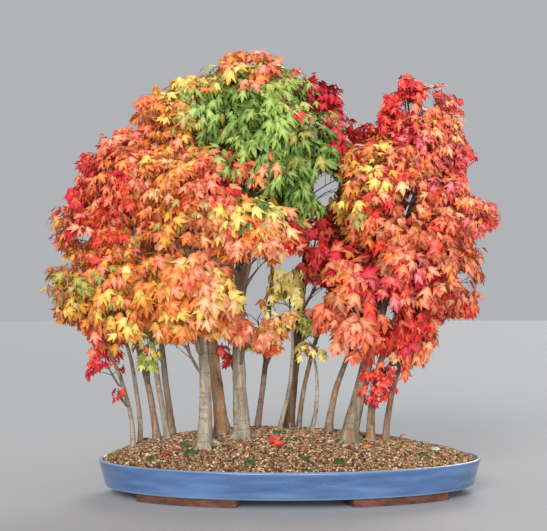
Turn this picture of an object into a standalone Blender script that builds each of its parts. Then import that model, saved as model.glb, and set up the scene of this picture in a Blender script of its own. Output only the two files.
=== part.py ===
"""A trident maple bonsai forest: seventeen slim trunks growing in a shallow oval tray.

Everything is modelled about the tray's centre, in metres: +X runs along the tray, -Y is the
front and +Z is up from the surface that the feet stand on. One empty then moves it all so
that the origin lies under the middle of the whole object.
"""

import math
import random

import bmesh
import bpy
from mathutils import Vector
from mathutils.bvhtree import BVHTree

# Where the tray's centre lies, seen from the middle of the whole object.
TRAY_CENTRE = (0.040, 0.0)

# Tray: an oval of glazed clay on four unglazed feet.
TRAY_LENGTH = 0.760
TRAY_DEPTH = 0.456
TRAY_TOP = 0.070
TRAY_WALL = 0.008
TRAY_FLOOR = 0.009
TRAY_TAPER = 0.012
TRAY_EDGE = 0.007
TRAY_SIDES = 40  # the soil's too, so that the two meet side to side
FOOT_HEIGHT = 0.0156
FOOT_WIDTH = 0.030
FOOT_INSET = 0.022
FOOT_ANGLES = (33, 72)
FOOT_STEPS = 6

# Soil: a low mound of grit, a little higher towards the left.
SOIL_EDGE_DROP = 0.004
SOIL_RISE = 0.060
SOIL_SLOPE = 0.22
SOIL_RINGS = (0.94, 0.80, 0.58, 0.30)

GAP = 0.0003  # between pieces that rest on each other
FLANK_GAP = 0.0004  # between a trunk's flat side and a limb that leaves it
SOCKET_DEPTH = 0.004
SOCKET_MARGIN = 0.0006
SOCKET_REACH = 0.050  # how far a socket's cutter goes up, past the top of the mound
SOCKET_SIDES = 9

# Trunks: foot (x, y), knee and tip (x, y, z), then thickness above the flare and at the tip.
# A trunk bends from its foot towards the knee and then on to its tip.
TRUNKS = (
    ("trunk_01", (-0.312, -0.010), (-0.315, 0.020, 0.210), (-0.380, -0.075, 0.330), 0.010, 0.006),
    ("trunk_02", (-0.300, 0.030), (-0.297, 0.015, 0.220), (-0.350, 0.080, 0.350), 0.010, 0.006),
    ("trunk_03", (-0.266, 0.008), (-0.288, 0.015, 0.280), (-0.365, 0.000, 0.465), 0.014, 0.006),
    ("trunk_04", (-0.245, -0.020), (-0.280, -0.020, 0.335), (-0.310, -0.085, 0.565), 0.012, 0.006),
    ("trunk_05", (-0.236, 0.036), (-0.265, 0.050, 0.335), (-0.290, 0.095, 0.565), 0.014, 0.006),
    ("trunk_06", (-0.170, -0.113), (-0.157, -0.100, 0.300), (-0.205, -0.160, 0.500), 0.026, 0.010),
    ("trunk_07", (-0.136, -0.044), (-0.168, -0.010, 0.400), (-0.195, 0.010, 0.675), 0.025, 0.009),
    ("trunk_08", (-0.097, -0.078), (-0.119, -0.076, 0.430), (-0.072, -0.020, 0.745), 0.028, 0.010),
    ("trunk_09", (-0.063, 0.052), (-0.034, 0.073, 0.320), (-0.030, 0.140, 0.525), 0.012, 0.007),
    ("trunk_10", (-0.020, -0.005), (0.013, -0.010, 0.240), (0.000, -0.022, 0.350), 0.009, 0.005),
    ("trunk_11", (-0.001, 0.030), (0.027, 0.023, 0.400), (0.050, 0.045, 0.670), 0.020, 0.008),
    ("trunk_12", (0.020, 0.045), (0.036, 0.060, 0.295), (0.135, 0.165, 0.460), 0.010, 0.006),
    ("trunk_13", (0.043, -0.017), (0.060, -0.020, 0.200), (0.048, -0.012, 0.262), 0.009, 0.005),
    ("trunk_14", (0.076, -0.013), (0.085, -0.005, 0.225), (0.165, 0.120, 0.340), 0.015, 0.007),
    ("trunk_15", (0.110, -0.090), (0.168, -0.078, 0.367), (0.258, -0.015, 0.620), 0.029, 0.010),
    ("trunk_16", (0.155, -0.060), (0.150, -0.065, 0.250), (0.225, -0.115, 0.405), 0.016, 0.008),
    ("trunk_17", (0.187, -0.035), (0.195, -0.045, 0.246), (0.285, 0.035, 0.385), 0.013, 0.007),
)
TRUNK_STEPS = 6
RING_CROWDING = 1.4  # over 1 sets the rings closer near the foot
FLARE = 0.45
FLARE_HEIGHT = 1.2  # in thicknesses
FLARE_LOBES = 5
LOBE_DEPTH = 0.16
LOBE_FADE = 2.0
STRAIGHT_FOOT = 0.008  # a trunk rises straight from its socket by this, and by half its base
THICK_TRUNK = 0.018
THICK_SIDES = 10
SLIM_SIDES = 6

# Boughs: the trunk and how far up it, then knee and tip, and thickness at each end.
BOUGHS = (
    ("bough_low_back", "trunk_07", 0.42, (-0.165, 0.050, 0.365), (-0.185, 0.105, 0.385), 0.011, 0.007),
    ("bough_left_back", "trunk_07", 0.62, (-0.165, 0.060, 0.520), (-0.170, 0.130, 0.545), 0.012, 0.007),
    ("bough_green", "trunk_08", 0.66, (-0.080, -0.100, 0.585), (-0.060, -0.130, 0.625), 0.012, 0.007),
    ("bough_far_right", "trunk_15", 0.72, (0.255, -0.025, 0.515), (0.285, -0.005, 0.545), 0.012, 0.007),
    ("bough_right_back", "trunk_15", 0.60, (0.190, 0.000, 0.520), (0.185, 0.070, 0.590), 0.012, 0.007),
)
BOUGH_STEPS = 4
LIMB_START = 2.0  # how far a limb first leaves its carrier, in its own radii

# Foliage masses: what carries it and how far up (1 is the tip), centre, reach and tint.
MASSES = (
    ("leaves_left_low_front", "trunk_01", 1.0, (-0.360, -0.110, 0.385), (0.122, 0.120, 0.098), "amber"),
    ("leaves_left_low_back", "trunk_02", 1.0, (-0.340, 0.110, 0.390), (0.120, 0.120, 0.095), "amber"),
    ("leaves_left_middle", "trunk_03", 1.0, (-0.370, 0.000, 0.520), (0.112, 0.150, 0.082), "orange"),
    ("leaves_left_high_front", "trunk_04", 1.0, (-0.305, -0.100, 0.617), (0.114, 0.130, 0.096), "orange"),
    ("leaves_left_high_back", "trunk_05", 1.0, (-0.295, 0.110, 0.615), (0.112, 0.130, 0.095), "orange"),
    ("leaves_left_top", "trunk_07", 1.0, (-0.200, 0.000, 0.733), (0.122, 0.150, 0.087), "gold"),
    ("leaves_front_left", "trunk_06", 1.0, (-0.190, -0.180, 0.570), (0.115, 0.120, 0.110), "orange"),
    ("leaves_front_low", "trunk_06", 0.62, (-0.205, -0.170, 0.400), (0.122, 0.120, 0.092), "gold"),
    ("leaves_back_left", "bough_left_back", 1.0, (-0.170, 0.180, 0.590), (0.120, 0.120, 0.110), "orange"),
    ("leaves_back_low", "bough_low_back", 1.0, (-0.190, 0.150, 0.420), (0.115, 0.120, 0.090), "amber"),
    ("leaves_top", "trunk_08", 1.0, (-0.078, -0.010, 0.800), (0.118, 0.130, 0.080), "green"),
    ("leaves_green_front", "bough_green", 1.0, (-0.045, -0.160, 0.680), (0.105, 0.110, 0.095), "green"),
    ("leaves_green_right", "trunk_11", 0.80, (0.040, -0.100, 0.640), (0.080, 0.110, 0.100), "green"),
    ("leaves_front_middle", "trunk_08", 0.56, (-0.075, -0.190, 0.515), (0.100, 0.100, 0.065), "gold"),
    ("leaves_back_middle", "trunk_09", 1.0, (-0.025, 0.190, 0.630), (0.100, 0.110, 0.110), "green"),
    ("leaves_top_right", "trunk_11", 1.0, (0.052, 0.060, 0.742), (0.084, 0.120, 0.100), "crimson"),
    ("leaves_back_right", "trunk_12", 1.0, (0.165, 0.190, 0.540), (0.095, 0.110, 0.100), "coral"),
    ("leaves_right_top", "trunk_15", 1.0, (0.265, -0.010, 0.710), (0.093, 0.120, 0.118), "red"),
    ("leaves_right_front", "trunk_15", 0.67, (0.170, -0.140, 0.590), (0.100, 0.120, 0.110), "coral"),
    ("leaves_right_back", "bough_right_back", 1.0, (0.190, 0.110, 0.645), (0.105, 0.120, 0.105), "red"),
    ("leaves_far_right", "bough_far_right", 1.0, (0.322, 0.000, 0.562), (0.097, 0.130, 0.080), "coral"),
    ("leaves_right_middle", "trunk_16", 1.0, (0.245, -0.145, 0.465), (0.115, 0.120, 0.100), "coral"),
    ("leaves_far_right_low", "trunk_17", 1.0, (0.308, 0.040, 0.425), (0.088, 0.130, 0.087), "coral"),
    ("leaves_right_low_front", "trunk_15", 0.50, (0.132, -0.120, 0.385), (0.105, 0.110, 0.110), "coral"),
    ("leaves_right_low_back", "trunk_14", 1.0, (0.190, 0.150, 0.410), (0.120, 0.120, 0.100), "red"),
    ("leaves_right_low_tip", "trunk_16", 0.62, (0.240, -0.070, 0.310), (0.060, 0.080, 0.075), "red"),
    ("spray_left_red", "trunk_01", 0.66, (-0.365, -0.030, 0.250), (0.042, 0.042, 0.047), "crimson"),
    ("spray_left_green", "trunk_03", 0.50, (-0.275, -0.045, 0.275), (0.037, 0.042, 0.047), "lime"),
    ("spray_yellow", "trunk_10", 1.0, (-0.005, -0.020, 0.400), (0.042, 0.045, 0.055), "gold"),
    ("spray_small_green", "trunk_13", 1.0, (0.045, -0.010, 0.290), (0.032, 0.032, 0.037), "lime"),
    ("spray_right_red", "trunk_16", 0.28, (0.160, -0.085, 0.215), (0.037, 0.037, 0.042), "crimson"),
    ("spray_middle", "trunk_09", 0.52, (-0.065, -0.010, 0.330), (0.060, 0.055, 0.050), "amber"),
)
SPACING = 0.0006  # each side of the plane between two masses
LIMB_CLEARANCE = 0.0025
FULLEST = 1.06  # how far leaves go past a mass's own reach
CROWN_MIDDLE = Vector((-0.03, 0.0, 0.50))
SMALL_MASS = 0.070  # a mass under this mean reach is a small one, with few and thin twigs
FULL_SIZE = 0.095  # from this mean reach on, twigs and leaves have their full size

# The stem of a mass: its thickness, and its knee and its top as shares of the mass.
STEM_THICKNESS = 0.0105
STEM_SIDES = 4
STEM_STEPS = 3
STEM_KNEE = 0.45
STEM_TOP = 0.35
SMALL_STEM = 0.6

# Twigs: they leave the stem over its upper part and end at a share of the mass's reach.
TWIG_THICKNESS = 0.0044
TWIG_TAPER = 0.35
TWIG_RISE = 0.08
TWIG_ROOTS = (0.45, 0.95)
TWIG_RINGS = (0.0, 0.52, 0.58, 0.94, 1.0)  # each short length bears a pair of leaves
TWIG_SHARES = (0.80, 0.65, 0.50)  # tried in turn until one fits
LEAF_ROWS = (3, 1)
DIRECTIONS = 10
SMALL_DIRECTIONS = 4
INWARD = -0.35  # no twig points back into the crown by more than this

# Leaves: sizes, where the blade is widest and thickest, and how freely each one hangs.
LEAF_LENGTH = 0.080
LEAF_SIZES = (0.80, 1.12)
LEAF_WIDTH = 1.1
LEAF_THICKNESS = 0.0032
LOBE_AT = 0.52
THICKEST_AT = 0.45
LEAF_TRIES = 40
LEAST_TURN = 0.15
LEAF_FORWARD = 0.4
LEAF_SWING = 0.5
LEAF_TILT = 0.35
FACE_UP = -0.5
LEAF_LEAN = (-0.3, 0.6)
LEAF_DROOP = (0.3, 1.2)
CLEAR_FROM = 0.15  # a leaf keeps clear of the others from this share of its length on

COLOURS = {
    "glaze": ((0.165, 0.270, 0.540), 0.25),
    "clay": ((0.400, 0.150, 0.080), 0.85),
    "grit": ((0.340, 0.230, 0.140), 0.95),
    "bark": ((0.300, 0.240, 0.190), 0.90),
    "amber": ((0.800, 0.330, 0.050), 0.60),
    "orange": ((0.820, 0.210, 0.060), 0.60),
    "gold": ((0.850, 0.480, 0.080), 0.60),
    "green": ((0.230, 0.420, 0.070), 0.60),
    "lime": ((0.500, 0.560, 0.080), 0.60),
    "crimson": ((0.500, 0.020, 0.030), 0.60),
    "red": ((0.720, 0.060, 0.050), 0.60),
    "coral": ((0.800, 0.120, 0.060), 0.60),
}


def clear_scene():
    for item in list(bpy.data.objects):
        bpy.data.objects.remove(item, do_unlink=True)


def material(name):
    found = bpy.data.materials.get(name)
    if found:
        return found
    colour, roughness = COLOURS[name]
    made = bpy.data.materials.new(name)
    made.use_nodes = True
    shader = made.node_tree.nodes["Principled BSDF"]
    shader.inputs["Base Color"].default_value = (*colour, 1.0)
    shader.inputs["Roughness"].default_value = roughness
    shader.inputs["Metallic"].default_value = 0.0
    made.diffuse_color = (*colour, 1.0)
    return made


def add_object(name, mesh, colour, parent):
    item = bpy.data.objects.new(name, mesh)
    bpy.context.scene.collection.objects.link(item)
    item.parent = parent
    mesh.materials.append(material(colour))
    return item


def mesh_of_rings(name, rings, round_below=None):
    """A closed mesh: rings of points joined in turn, with a flat cap at each end."""
    shape = bmesh.new()
    rows = [[shape.verts.new(point) for point in ring] for ring in rings]
    for low, high in zip(rows, rows[1:]):
        count = len(low)
        for at in range(count):
            after = (at + 1) % count
            shape.faces.new((low[at], low[after], high[after], high[at]))
    shape.faces.new(rows[0][::-1])
    shape.faces.new(rows[-1])
    bmesh.ops.recalc_face_normals(shape, faces=shape.faces)
    mesh = bpy.data.meshes.new(name)
    shape.to_mesh(mesh)
    shape.free()
    if round_below:
        mesh.shade_smooth()
        mesh.set_sharp_from_angle(angle=math.radians(round_below))
    return mesh


def oval(inset, height, sides, share=1.0):
    """One ring of the tray's oval, drawn in by the inset or to a share of its size."""
    half_length = (TRAY_LENGTH / 2 - inset) * share
    half_depth = (TRAY_DEPTH / 2 - inset) * share
    turns = (2 * math.pi * at / sides for at in range(sides))
    return [Vector((half_length * math.cos(a), half_depth * math.sin(a), height)) for a in turns]


def arc(centre, radius, first, last, steps):
    """Points of an arc in the (inset, height) plane, from one angle in degrees to another."""
    angles = (math.radians(first + (last - first) * at / steps) for at in range(steps + 1))
    return [(centre[0] + radius * math.cos(a), centre[1] + radius * math.sin(a)) for a in angles]


def inner_wall_inset(height):
    """How far the tray's inner wall stands in from the rim's outside at a height."""
    down = (TRAY_TOP - height) / (TRAY_TOP - FOOT_HEIGHT)
    return TRAY_WALL + TRAY_TAPER * down


def tray_mesh():
    """The tray: a rounded bottom edge, a wall that leans out to a round rim, and a flat floor."""
    half_wall = TRAY_WALL / 2
    floor_top = FOOT_HEIGHT + TRAY_FLOOR
    edge = arc((TRAY_TAPER + TRAY_EDGE, FOOT_HEIGHT + TRAY_EDGE), TRAY_EDGE, 270, 180, 2)
    rim = arc((half_wall, TRAY_TOP - half_wall), half_wall, 180, 0, 3)
    profile = [*edge, *rim, (inner_wall_inset(floor_top), floor_top)]
    rings = [oval(inset, height, TRAY_SIDES) for inset, height in profile]
    return mesh_of_rings("tray", rings, round_below=50)


def foot_mesh():
    """One foot: a flat block that follows the tray's oval under its edge."""
    shape = bmesh.new()
    first, last = (math.radians(angle) for angle in FOOT_ANGLES)
    outline = []
    for inset, order in ((FOOT_INSET, 1), (FOOT_INSET + FOOT_WIDTH, -1)):
        half_length = TRAY_LENGTH / 2 - inset
        half_depth = TRAY_DEPTH / 2 - inset
        for step in range(FOOT_STEPS + 1)[::order]:
            turn = first + (last - first) * step / FOOT_STEPS
            outline.append((half_length * math.cos(turn), half_depth * math.sin(turn)))
    bottom = shape.faces.new([shape.verts.new((x, y, 0.0)) for x, y in outline])
    raised = bmesh.ops.extrude_face_region(shape, geom=[bottom])
    corners = [item for item in raised["geom"] if isinstance(item, bmesh.types.BMVert)]
    bmesh.ops.translate(shape, verts=corners, vec=(0, 0, FOOT_HEIGHT - GAP))
    bmesh.ops.recalc_face_normals(shape, faces=shape.faces)
    mesh = bpy.data.meshes.new("foot")
    shape.to_mesh(mesh)
    shape.free()
    return mesh


def mirrored(mesh, across_x, across_y):
    copy = mesh.copy()
    for vertex in copy.vertices:
        vertex.co.x *= across_x
        vertex.co.y *= across_y
    if across_x * across_y < 0:
        copy.flip_normals()
    return copy


def soil_height(x, y):
    """Height of the grit's surface over the tray's oval."""
    along = x / (TRAY_LENGTH / 2 - TRAY_WALL)
    across = y / (TRAY_DEPTH / 2 - TRAY_WALL)
    inside = max(0.0, 1 - along * along - across * across)
    rise = SOIL_RISE * inside**0.75 * (1 - SOIL_SLOPE * along)
    return TRAY_TOP - SOIL_EDGE_DROP + rise


def soil_mesh():
    low = FOOT_HEIGHT + TRAY_FLOOR + GAP
    edge = TRAY_TOP - SOIL_EDGE_DROP - TRAY_WALL / 2
    rings = [oval(inner_wall_inset(height) + GAP, height, TRAY_SIDES) for height in (low, edge)]
    for share in SOIL_RINGS:
        ring = oval(inner_wall_inset(edge) + GAP, 0.0, TRAY_SIDES, share)
        for point in ring:
            point.z = soil_height(point.x, point.y)
        rings.append(ring)
    return mesh_of_rings("soil", rings, round_below=60)


def bend(start, knee, end, along):
    """A point on the curve that leaves the start towards the knee and reaches the end."""
    back = 1 - along
    return start * back * back + knee * (2 * back * along) + end * (along * along)


def lowest_soil(x, y, radius):
    turns = (math.pi * at / 4 for at in range(8))
    return min(soil_height(x + radius * math.cos(a), y + radius * math.sin(a)) for a in turns)


class Limb:
    """A tapering trunk, bough or stem: its centre line, its radii and its ring frame."""

    def __init__(self, name, points, radii, sides, lobes=0.0):
        self.name = name
        self.points = points
        self.radii = radii
        self.sides = sides
        self.lobes = lobes

    def tangent(self, at):
        if at == 0:
            return (self.points[1] - self.points[0]).normalized()
        if at == len(self.points) - 1:
            return (self.points[-1] - self.points[-2]).normalized()
        return (self.points[at + 1] - self.points[at - 1]).normalized()

    def frame(self, tangent):
        """Two directions across the limb, which a ring's angles are measured from."""
        whole = (self.points[-1] - self.points[0]).normalized()
        axes = (Vector((1, 0, 0)), Vector((0, 1, 0)), Vector((0, 0, 1)))
        guide = min(axes, key=lambda axis: abs(axis.dot(whole)))
        side = guide.cross(tangent).normalized()
        return side, tangent.cross(side)

    def rings(self, extra=0.0):
        found = []
        for at, (point, radius) in enumerate(zip(self.points, self.radii)):
            side, other = self.frame(self.tangent(at))
            lobe = self.lobes * math.exp(-LOBE_FADE * at)
            ring = []
            for corner in range(self.sides):
                turn = 2 * math.pi * corner / self.sides
                size = (radius + extra) * (1 + lobe * math.cos(FLARE_LOBES * turn))
                away = side * math.cos(turn) + other * math.sin(turn)
                ring.append(point + away * size)
            found.append(ring)
        return found

    def mesh(self):
        return mesh_of_rings(self.name, self.rings(), round_below=75)

    def at(self, share):
        """Point, direction and radius at a share of the way along the points."""
        place = min(share, 1.0) * (len(self.points) - 1)
        low = min(int(place), len(self.points) - 2)
        part = place - low
        point = self.points[low].lerp(self.points[low + 1], part)
        radius = self.radii[low] + (self.radii[low + 1] - self.radii[low]) * part
        return point, (self.points[low + 1] - self.points[low]).normalized(), radius


def trunk_limb(name, foot, knee, tip, thickness, tip_thickness):
    """A trunk from its flat cut in the soil, through its flare, to its tip."""
    radius = thickness / 2
    base_radius = radius * (1 + FLARE)
    straight = STRAIGHT_FOOT + base_radius * 0.5
    floor = lowest_soil(*foot, base_radius) - SOCKET_DEPTH
    base = Vector((*foot, floor))
    start = base + Vector((0, 0, straight))
    knee, tip = Vector(knee), Vector(tip)
    points = [base]
    radii = [base_radius]
    length = (knee - start).length + (tip - knee).length
    for step in range(TRUNK_STEPS + 1):
        along = (step / TRUNK_STEPS) ** RING_CROWDING
        points.append(bend(start, knee, tip, along))
        height = straight + along * length
        plain = radius + (tip_thickness / 2 - radius) * along
        radii.append(plain * (1 + FLARE * math.exp(-height / (FLARE_HEIGHT * thickness))))
    if thickness > THICK_TRUNK:
        return Limb(name, points, radii, THICK_SIDES, LOBE_DEPTH)
    return Limb(name, points, radii, SLIM_SIDES)


def side_start(carrier, share, target):
    """Where a limb leaves the nearest flat side of its carrier, just clear of it, and its direction."""
    point, along, thick = carrier.at(share)
    side, other = carrier.frame(along)
    wanted = target - point
    step = 2 * math.pi / carrier.sides
    turn = (math.floor(math.atan2(wanted.dot(other), wanted.dot(side)) / step) + 0.5) * step
    out = side * math.cos(turn) + other * math.sin(turn)
    return point + out * (thick * math.cos(step / 2) + FLANK_GAP), out


def grow_limb(name, carrier, share, knee, tip, radii, sides, steps):
    """A limb that starts clear of the carrier's flank or tip and bends past a knee."""
    if share >= 1.0:
        point, out, _ = carrier.at(1.0)
        first = point + out * GAP
    else:
        first, out = side_start(carrier, share, knee)
    second = first + out * (LIMB_START * radii[0])
    points = [first]
    for step in range(steps + 1):
        points.append(bend(second, knee, tip, step / steps))
    count = len(points) - 1
    sizes = [radii[0] + (radii[1] - radii[0]) * at / count for at in range(count + 1)]
    return Limb(name, points, sizes, sides)


class Mass:
    """One mass of foliage, which keeps to an oval space cut flat towards each neighbour."""

    def __init__(self, name, carrier, share, centre, reach, colour):
        self.name = name
        self.carrier = carrier
        self.share = share
        self.centre = Vector(centre)
        self.reach = Vector(reach)
        self.colour = colour
        self.size = sum(reach) / 3
        self.small = self.size < SMALL_MASS
        self.planes = []

    def meet(self, other):
        """Shares out the space between this mass and another by a plane."""
        apart = other.centre - self.centre
        share = self.size / (self.size + other.size)
        self.planes.append((self.centre + apart * share, apart.normalized()))

    def share_of_reach(self, point):
        offset = point - self.centre
        return Vector(offset[axis] / self.reach[axis] for axis in range(3)).length

    def holds(self, points):
        for point in points:
            if self.share_of_reach(point) > FULLEST:
                return False
            if any((point - place).dot(away) > -SPACING for place, away in self.planes):
                return False
        return True

    def grow_stem(self, carrier):
        """The stem that all the twigs of this mass branch from."""
        low, _, radius = carrier.at(self.share)
        top = self.centre + Vector((0, 0, self.reach.z * STEM_TOP))
        inward = (low - self.centre).normalized()
        knee = self.centre + inward * (self.size * STEM_KNEE)
        thickness = min(STEM_THICKNESS, radius * 2) * (SMALL_STEM if self.small else 1.0)
        radii = (thickness / 2, thickness / 3)
        self.stem = grow_limb(self.name, carrier, self.share, knee, top, radii, STEM_SIDES, STEM_STEPS)


def even_direction(number, count, turn):
    """One of the count directions spread evenly over a sphere."""
    height = 1 - 2 * (number + 0.5) / count
    ring = math.sqrt(1 - height * height)
    angle = turn + number * math.pi * (3 - math.sqrt(5))
    return Vector((ring * math.cos(angle), ring * math.sin(angle), height))


def tube_faces(rings):
    """Points and faces of a closed tube through the rings; its far cap is the last face."""
    points = [point for ring in rings for point in ring]
    count = len(rings[0])
    faces = []
    for row in range(len(rings) - 1):
        for at in range(count):
            after = (at + 1) % count
            low, high = row * count, (row + 1) * count
            faces.append((low + at, low + after, high + after, high + at))
    faces.append(tuple(range(count))[::-1])
    faces.append(tuple(range(len(points) - count, len(points))))
    return points, faces


class Leaf:
    """A flat pointed blade with two side lobes, which grows out of one face of a twig."""

    def __init__(self, root, heading, face, length):
        self.heading = heading
        self.face = face
        self.side = heading.cross(face)
        lobes = root + heading * (length * LOBE_AT)
        spread = self.side * (length * LEAF_WIDTH / 2)
        middle = root + heading * (length * THICKEST_AT)
        bulge = face * (LEAF_THICKNESS / 2)
        self.tip = root + heading * length
        self.edge = [lobes + spread, middle - bulge, lobes - spread, middle + bulge]
        self.root = root

    def blade(self, from_share=0.0):
        """The leaf from a share of its length on, as points and faces."""
        neck = self.root.lerp(self.tip, from_share)
        corners = range(4)
        faces = [(at, (at + 1) % 4, 4) for at in corners] + [((at + 1) % 4, at, 5) for at in corners]
        return [*self.edge, self.tip, neck], faces

    def angle(self, offset):
        return math.atan2(-offset.dot(self.face), offset.dot(self.side)) % (2 * math.pi)

    def join(self, points, faces, root_face):
        """Grows the leaf from a face of the shape, whose corners run round to its edge."""
        root = list(faces[root_face])
        middle = sum((points[corner] for corner in root), Vector()) / len(root)
        turns = [self.angle(points[corner] - middle) for corner in root]
        first = turns.index(min(turns))
        root = root[first:] + root[:first]
        turns = turns[first:] + turns[:first]
        start = len(points)
        points.extend([*self.edge, self.tip])
        faces[root_face] = None
        low, high = 0, 0
        while low < len(root) or high < 4:
            low_turn = turns[low] if low < len(root) else math.inf
            high_turn = high * math.pi / 2 if high < 4 else math.inf
            low_at, high_at = root[low - 1], start + (high - 1) % 4
            if low_turn <= high_turn:
                faces.append((low_at, root[low], high_at))
                low += 1
            else:
                faces.append((low_at, start + high, high_at))
                high += 1
        faces.extend((start + at, start + (at + 1) % 4, start + 4) for at in range(4))


def touches(shape, trees):
    own = BVHTree.FromPolygons(*shape)
    return any(own.overlap(tree) for tree in trees)


def best_leaf(mass, root, wanted, length, random_from, limbs, leaves):
    """The furthest-reaching of a few leaves that fit in the space left, or None."""
    outward = ((root - mass.centre).normalized() + (root - CROWN_MIDDLE).normalized()).normalized()
    best, best_reach = None, 0.0
    for _ in range(LEAF_TRIES):
        swing = Vector(random_from.uniform(-LEAF_SWING, LEAF_SWING) for _ in range(3))
        droop = Vector((0, 0, -random_from.uniform(*LEAF_DROOP)))
        heading = (wanted + swing + droop + outward * random_from.uniform(*LEAF_LEAN)).normalized()
        if heading.dot(wanted) < LEAST_TURN:
            continue
        tilt = Vector(random_from.uniform(-LEAF_TILT, LEAF_TILT) for _ in range(3))
        face = outward + tilt + Vector((0, 0, FACE_UP))
        face = (face - heading * face.dot(heading)).normalized()
        leaf = Leaf(root, heading, face, length * random_from.uniform(*LEAF_SIZES))
        reach = mass.share_of_reach(leaf.tip)
        if reach < best_reach or not mass.holds([*leaf.edge, leaf.tip]):
            continue
        if touches(leaf.blade(), [limbs]) or touches(leaf.blade(CLEAR_FROM), leaves):
            continue
        best, best_reach = leaf, reach
    return best


def twig_rings(root, end, thick):
    """Three-sided rings along a twig, one flat side up, and its side and up directions."""
    along = end - root
    rise = Vector((0, 0, TWIG_RISE * along.length))
    up = (Vector((0, 0, 1)) - along * (along.z / along.length_squared)).normalized()
    if up.length < 0.5:
        up = along.orthogonal().normalized()
    side = up.cross(along).normalized()
    rings = []
    for share in TWIG_RINGS:
        centre = root + along * share + rise * (4 * share * (1 - share))
        radius = thick * (1 - TWIG_TAPER * share)
        angles = (math.radians(degrees) for degrees in (30, 150, 270))
        rings.append([centre + side * (radius * math.cos(a)) + up * (radius * math.sin(a)) for a in angles])
    return rings, side, up


def spray(mass, root, end, thick, length, random_from, limbs, grown):
    """A twig with its leaves as one closed shape, or None where it doesn't fit."""
    rings, side, up = twig_rings(root, end, thick)
    points, faces = tube_faces(rings)
    if not mass.holds(points[3:]) or touches((points, faces), [limbs, *grown]):
        return None, []
    along = (end - root).normalized()
    tree = BVHTree.FromPolygons(points, faces)
    last = len(faces) - 1
    right = (side * math.cos(math.radians(30)) - up * 0.5).normalized()
    left = (-side * math.cos(math.radians(30)) - up * 0.5).normalized()
    places = [(last, along)]
    for row in LEAF_ROWS:
        places += [(row * 3 + 2, right), (row * 3 + 1, left)]
    blades = []
    for root_face, normal in places:
        corners = [points[corner] for corner in faces[root_face]]
        middle = sum(corners, Vector()) / len(corners)
        wanted = (normal + along * LEAF_FORWARD).normalized()
        leaves = [tree, *grown, *blades]
        leaf = best_leaf(mass, middle, wanted, length, random_from, limbs, leaves)
        if leaf:
            leaf.join(points, faces, root_face)
            blades.append(BVHTree.FromPolygons(*leaf.blade(CLEAR_FROM)))
    return (points, [face for face in faces if face]), blades


def foliage_parts(mass, limbs, seed):
    """The closed shapes of one mass: its stem, then each twig with its leaves."""
    random_from = random.Random(seed)
    parts = [tube_faces(mass.stem.rings())]
    count = SMALL_DIRECTIONS if mass.small else DIRECTIONS
    shrink = min(1.0, mass.size / FULL_SIZE)
    turn = random_from.uniform(0, 2 * math.pi)
    grown = []
    for number in range(count):
        heading = even_direction(number, count, turn)
        if heading.dot((mass.centre - CROWN_MIDDLE).normalized()) < INWARD and not mass.small:
            continue
        height = (heading.z + 1) / 2
        root = mass.stem.at(TWIG_ROOTS[0] + (TWIG_ROOTS[1] - TWIG_ROOTS[0]) * height)[0]
        for share in TWIG_SHARES:
            end = mass.centre + Vector(heading[axis] * mass.reach[axis] * share for axis in range(3))
            thick = TWIG_THICKNESS / 2 * math.sqrt(shrink)
            found, blades = spray(mass, root, end, thick, LEAF_LENGTH * shrink, random_from, limbs, grown)
            if found and blades:
                parts.append(found)
                grown.append(BVHTree.FromPolygons(*found))
                break
    return parts


def fuse(name, parts):
    """One closed mesh from overlapping closed parts, without scraps or sealed hollows."""
    group = bpy.data.collections.new(name + "_parts")
    holder = None
    for number, (points, faces) in enumerate(parts):
        mesh = bpy.data.meshes.new(f"{name}_{number}")
        mesh.from_pydata([tuple(point) for point in points], [], faces)
        shape = bmesh.new()
        shape.from_mesh(mesh)
        bmesh.ops.recalc_face_normals(shape, faces=shape.faces)
        shape.to_mesh(mesh)
        shape.free()
        item = bpy.data.objects.new(mesh.name, mesh)
        if holder is None:
            holder = item
            bpy.context.scene.collection.objects.link(item)
        else:
            group.objects.link(item)
    union = holder.modifiers.new("union", "BOOLEAN")
    union.operation = "UNION"
    union.solver = "EXACT"
    union.operand_type = "COLLECTION"
    union.collection = group
    graph = bpy.context.evaluated_depsgraph_get()
    fused = bpy.data.meshes.new_from_object(holder.evaluated_get(graph), depsgraph=graph)
    for item in [*group.objects, holder]:
        bpy.data.objects.remove(item, do_unlink=True)
    bpy.data.collections.remove(group)
    keep_largest(fused)
    fused.name = name
    return fused


def keep_largest(mesh):
    """Drops every separate piece of the mesh but the one that encloses the most."""
    shape = bmesh.new()
    shape.from_mesh(mesh)
    bmesh.ops.triangulate(shape, faces=shape.faces)
    waiting = set(shape.faces)
    pieces = []
    while waiting:
        piece = {waiting.pop()}
        edge_of = list(piece)
        while edge_of:
            for edge in edge_of.pop().edges:
                fresh = [face for face in edge.link_faces if face in waiting]
                waiting.difference_update(fresh)
                piece.update(fresh)
                edge_of.extend(fresh)
        pieces.append(piece)
    largest = max(pieces, key=lambda piece: sum(signed_volume(face) for face in piece))
    scraps = [face for piece in pieces if piece is not largest for face in piece]
    bmesh.ops.delete(shape, geom=scraps, context="FACES")
    shape.to_mesh(mesh)
    shape.free()


def signed_volume(face):
    first, second, third = (vertex.co for vertex in face.verts)
    return first.dot(second.cross(third)) / 6


def build_tray(parent):
    add_object("tray", tray_mesh(), "glaze", parent)
    foot = foot_mesh()
    for depth, across_y in (("front", -1), ("back", 1)):
        for side, across_x in (("left", -1), ("right", 1)):
            add_object(f"foot_{depth}_{side}", mirrored(foot, across_x, across_y), "clay", parent)


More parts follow.
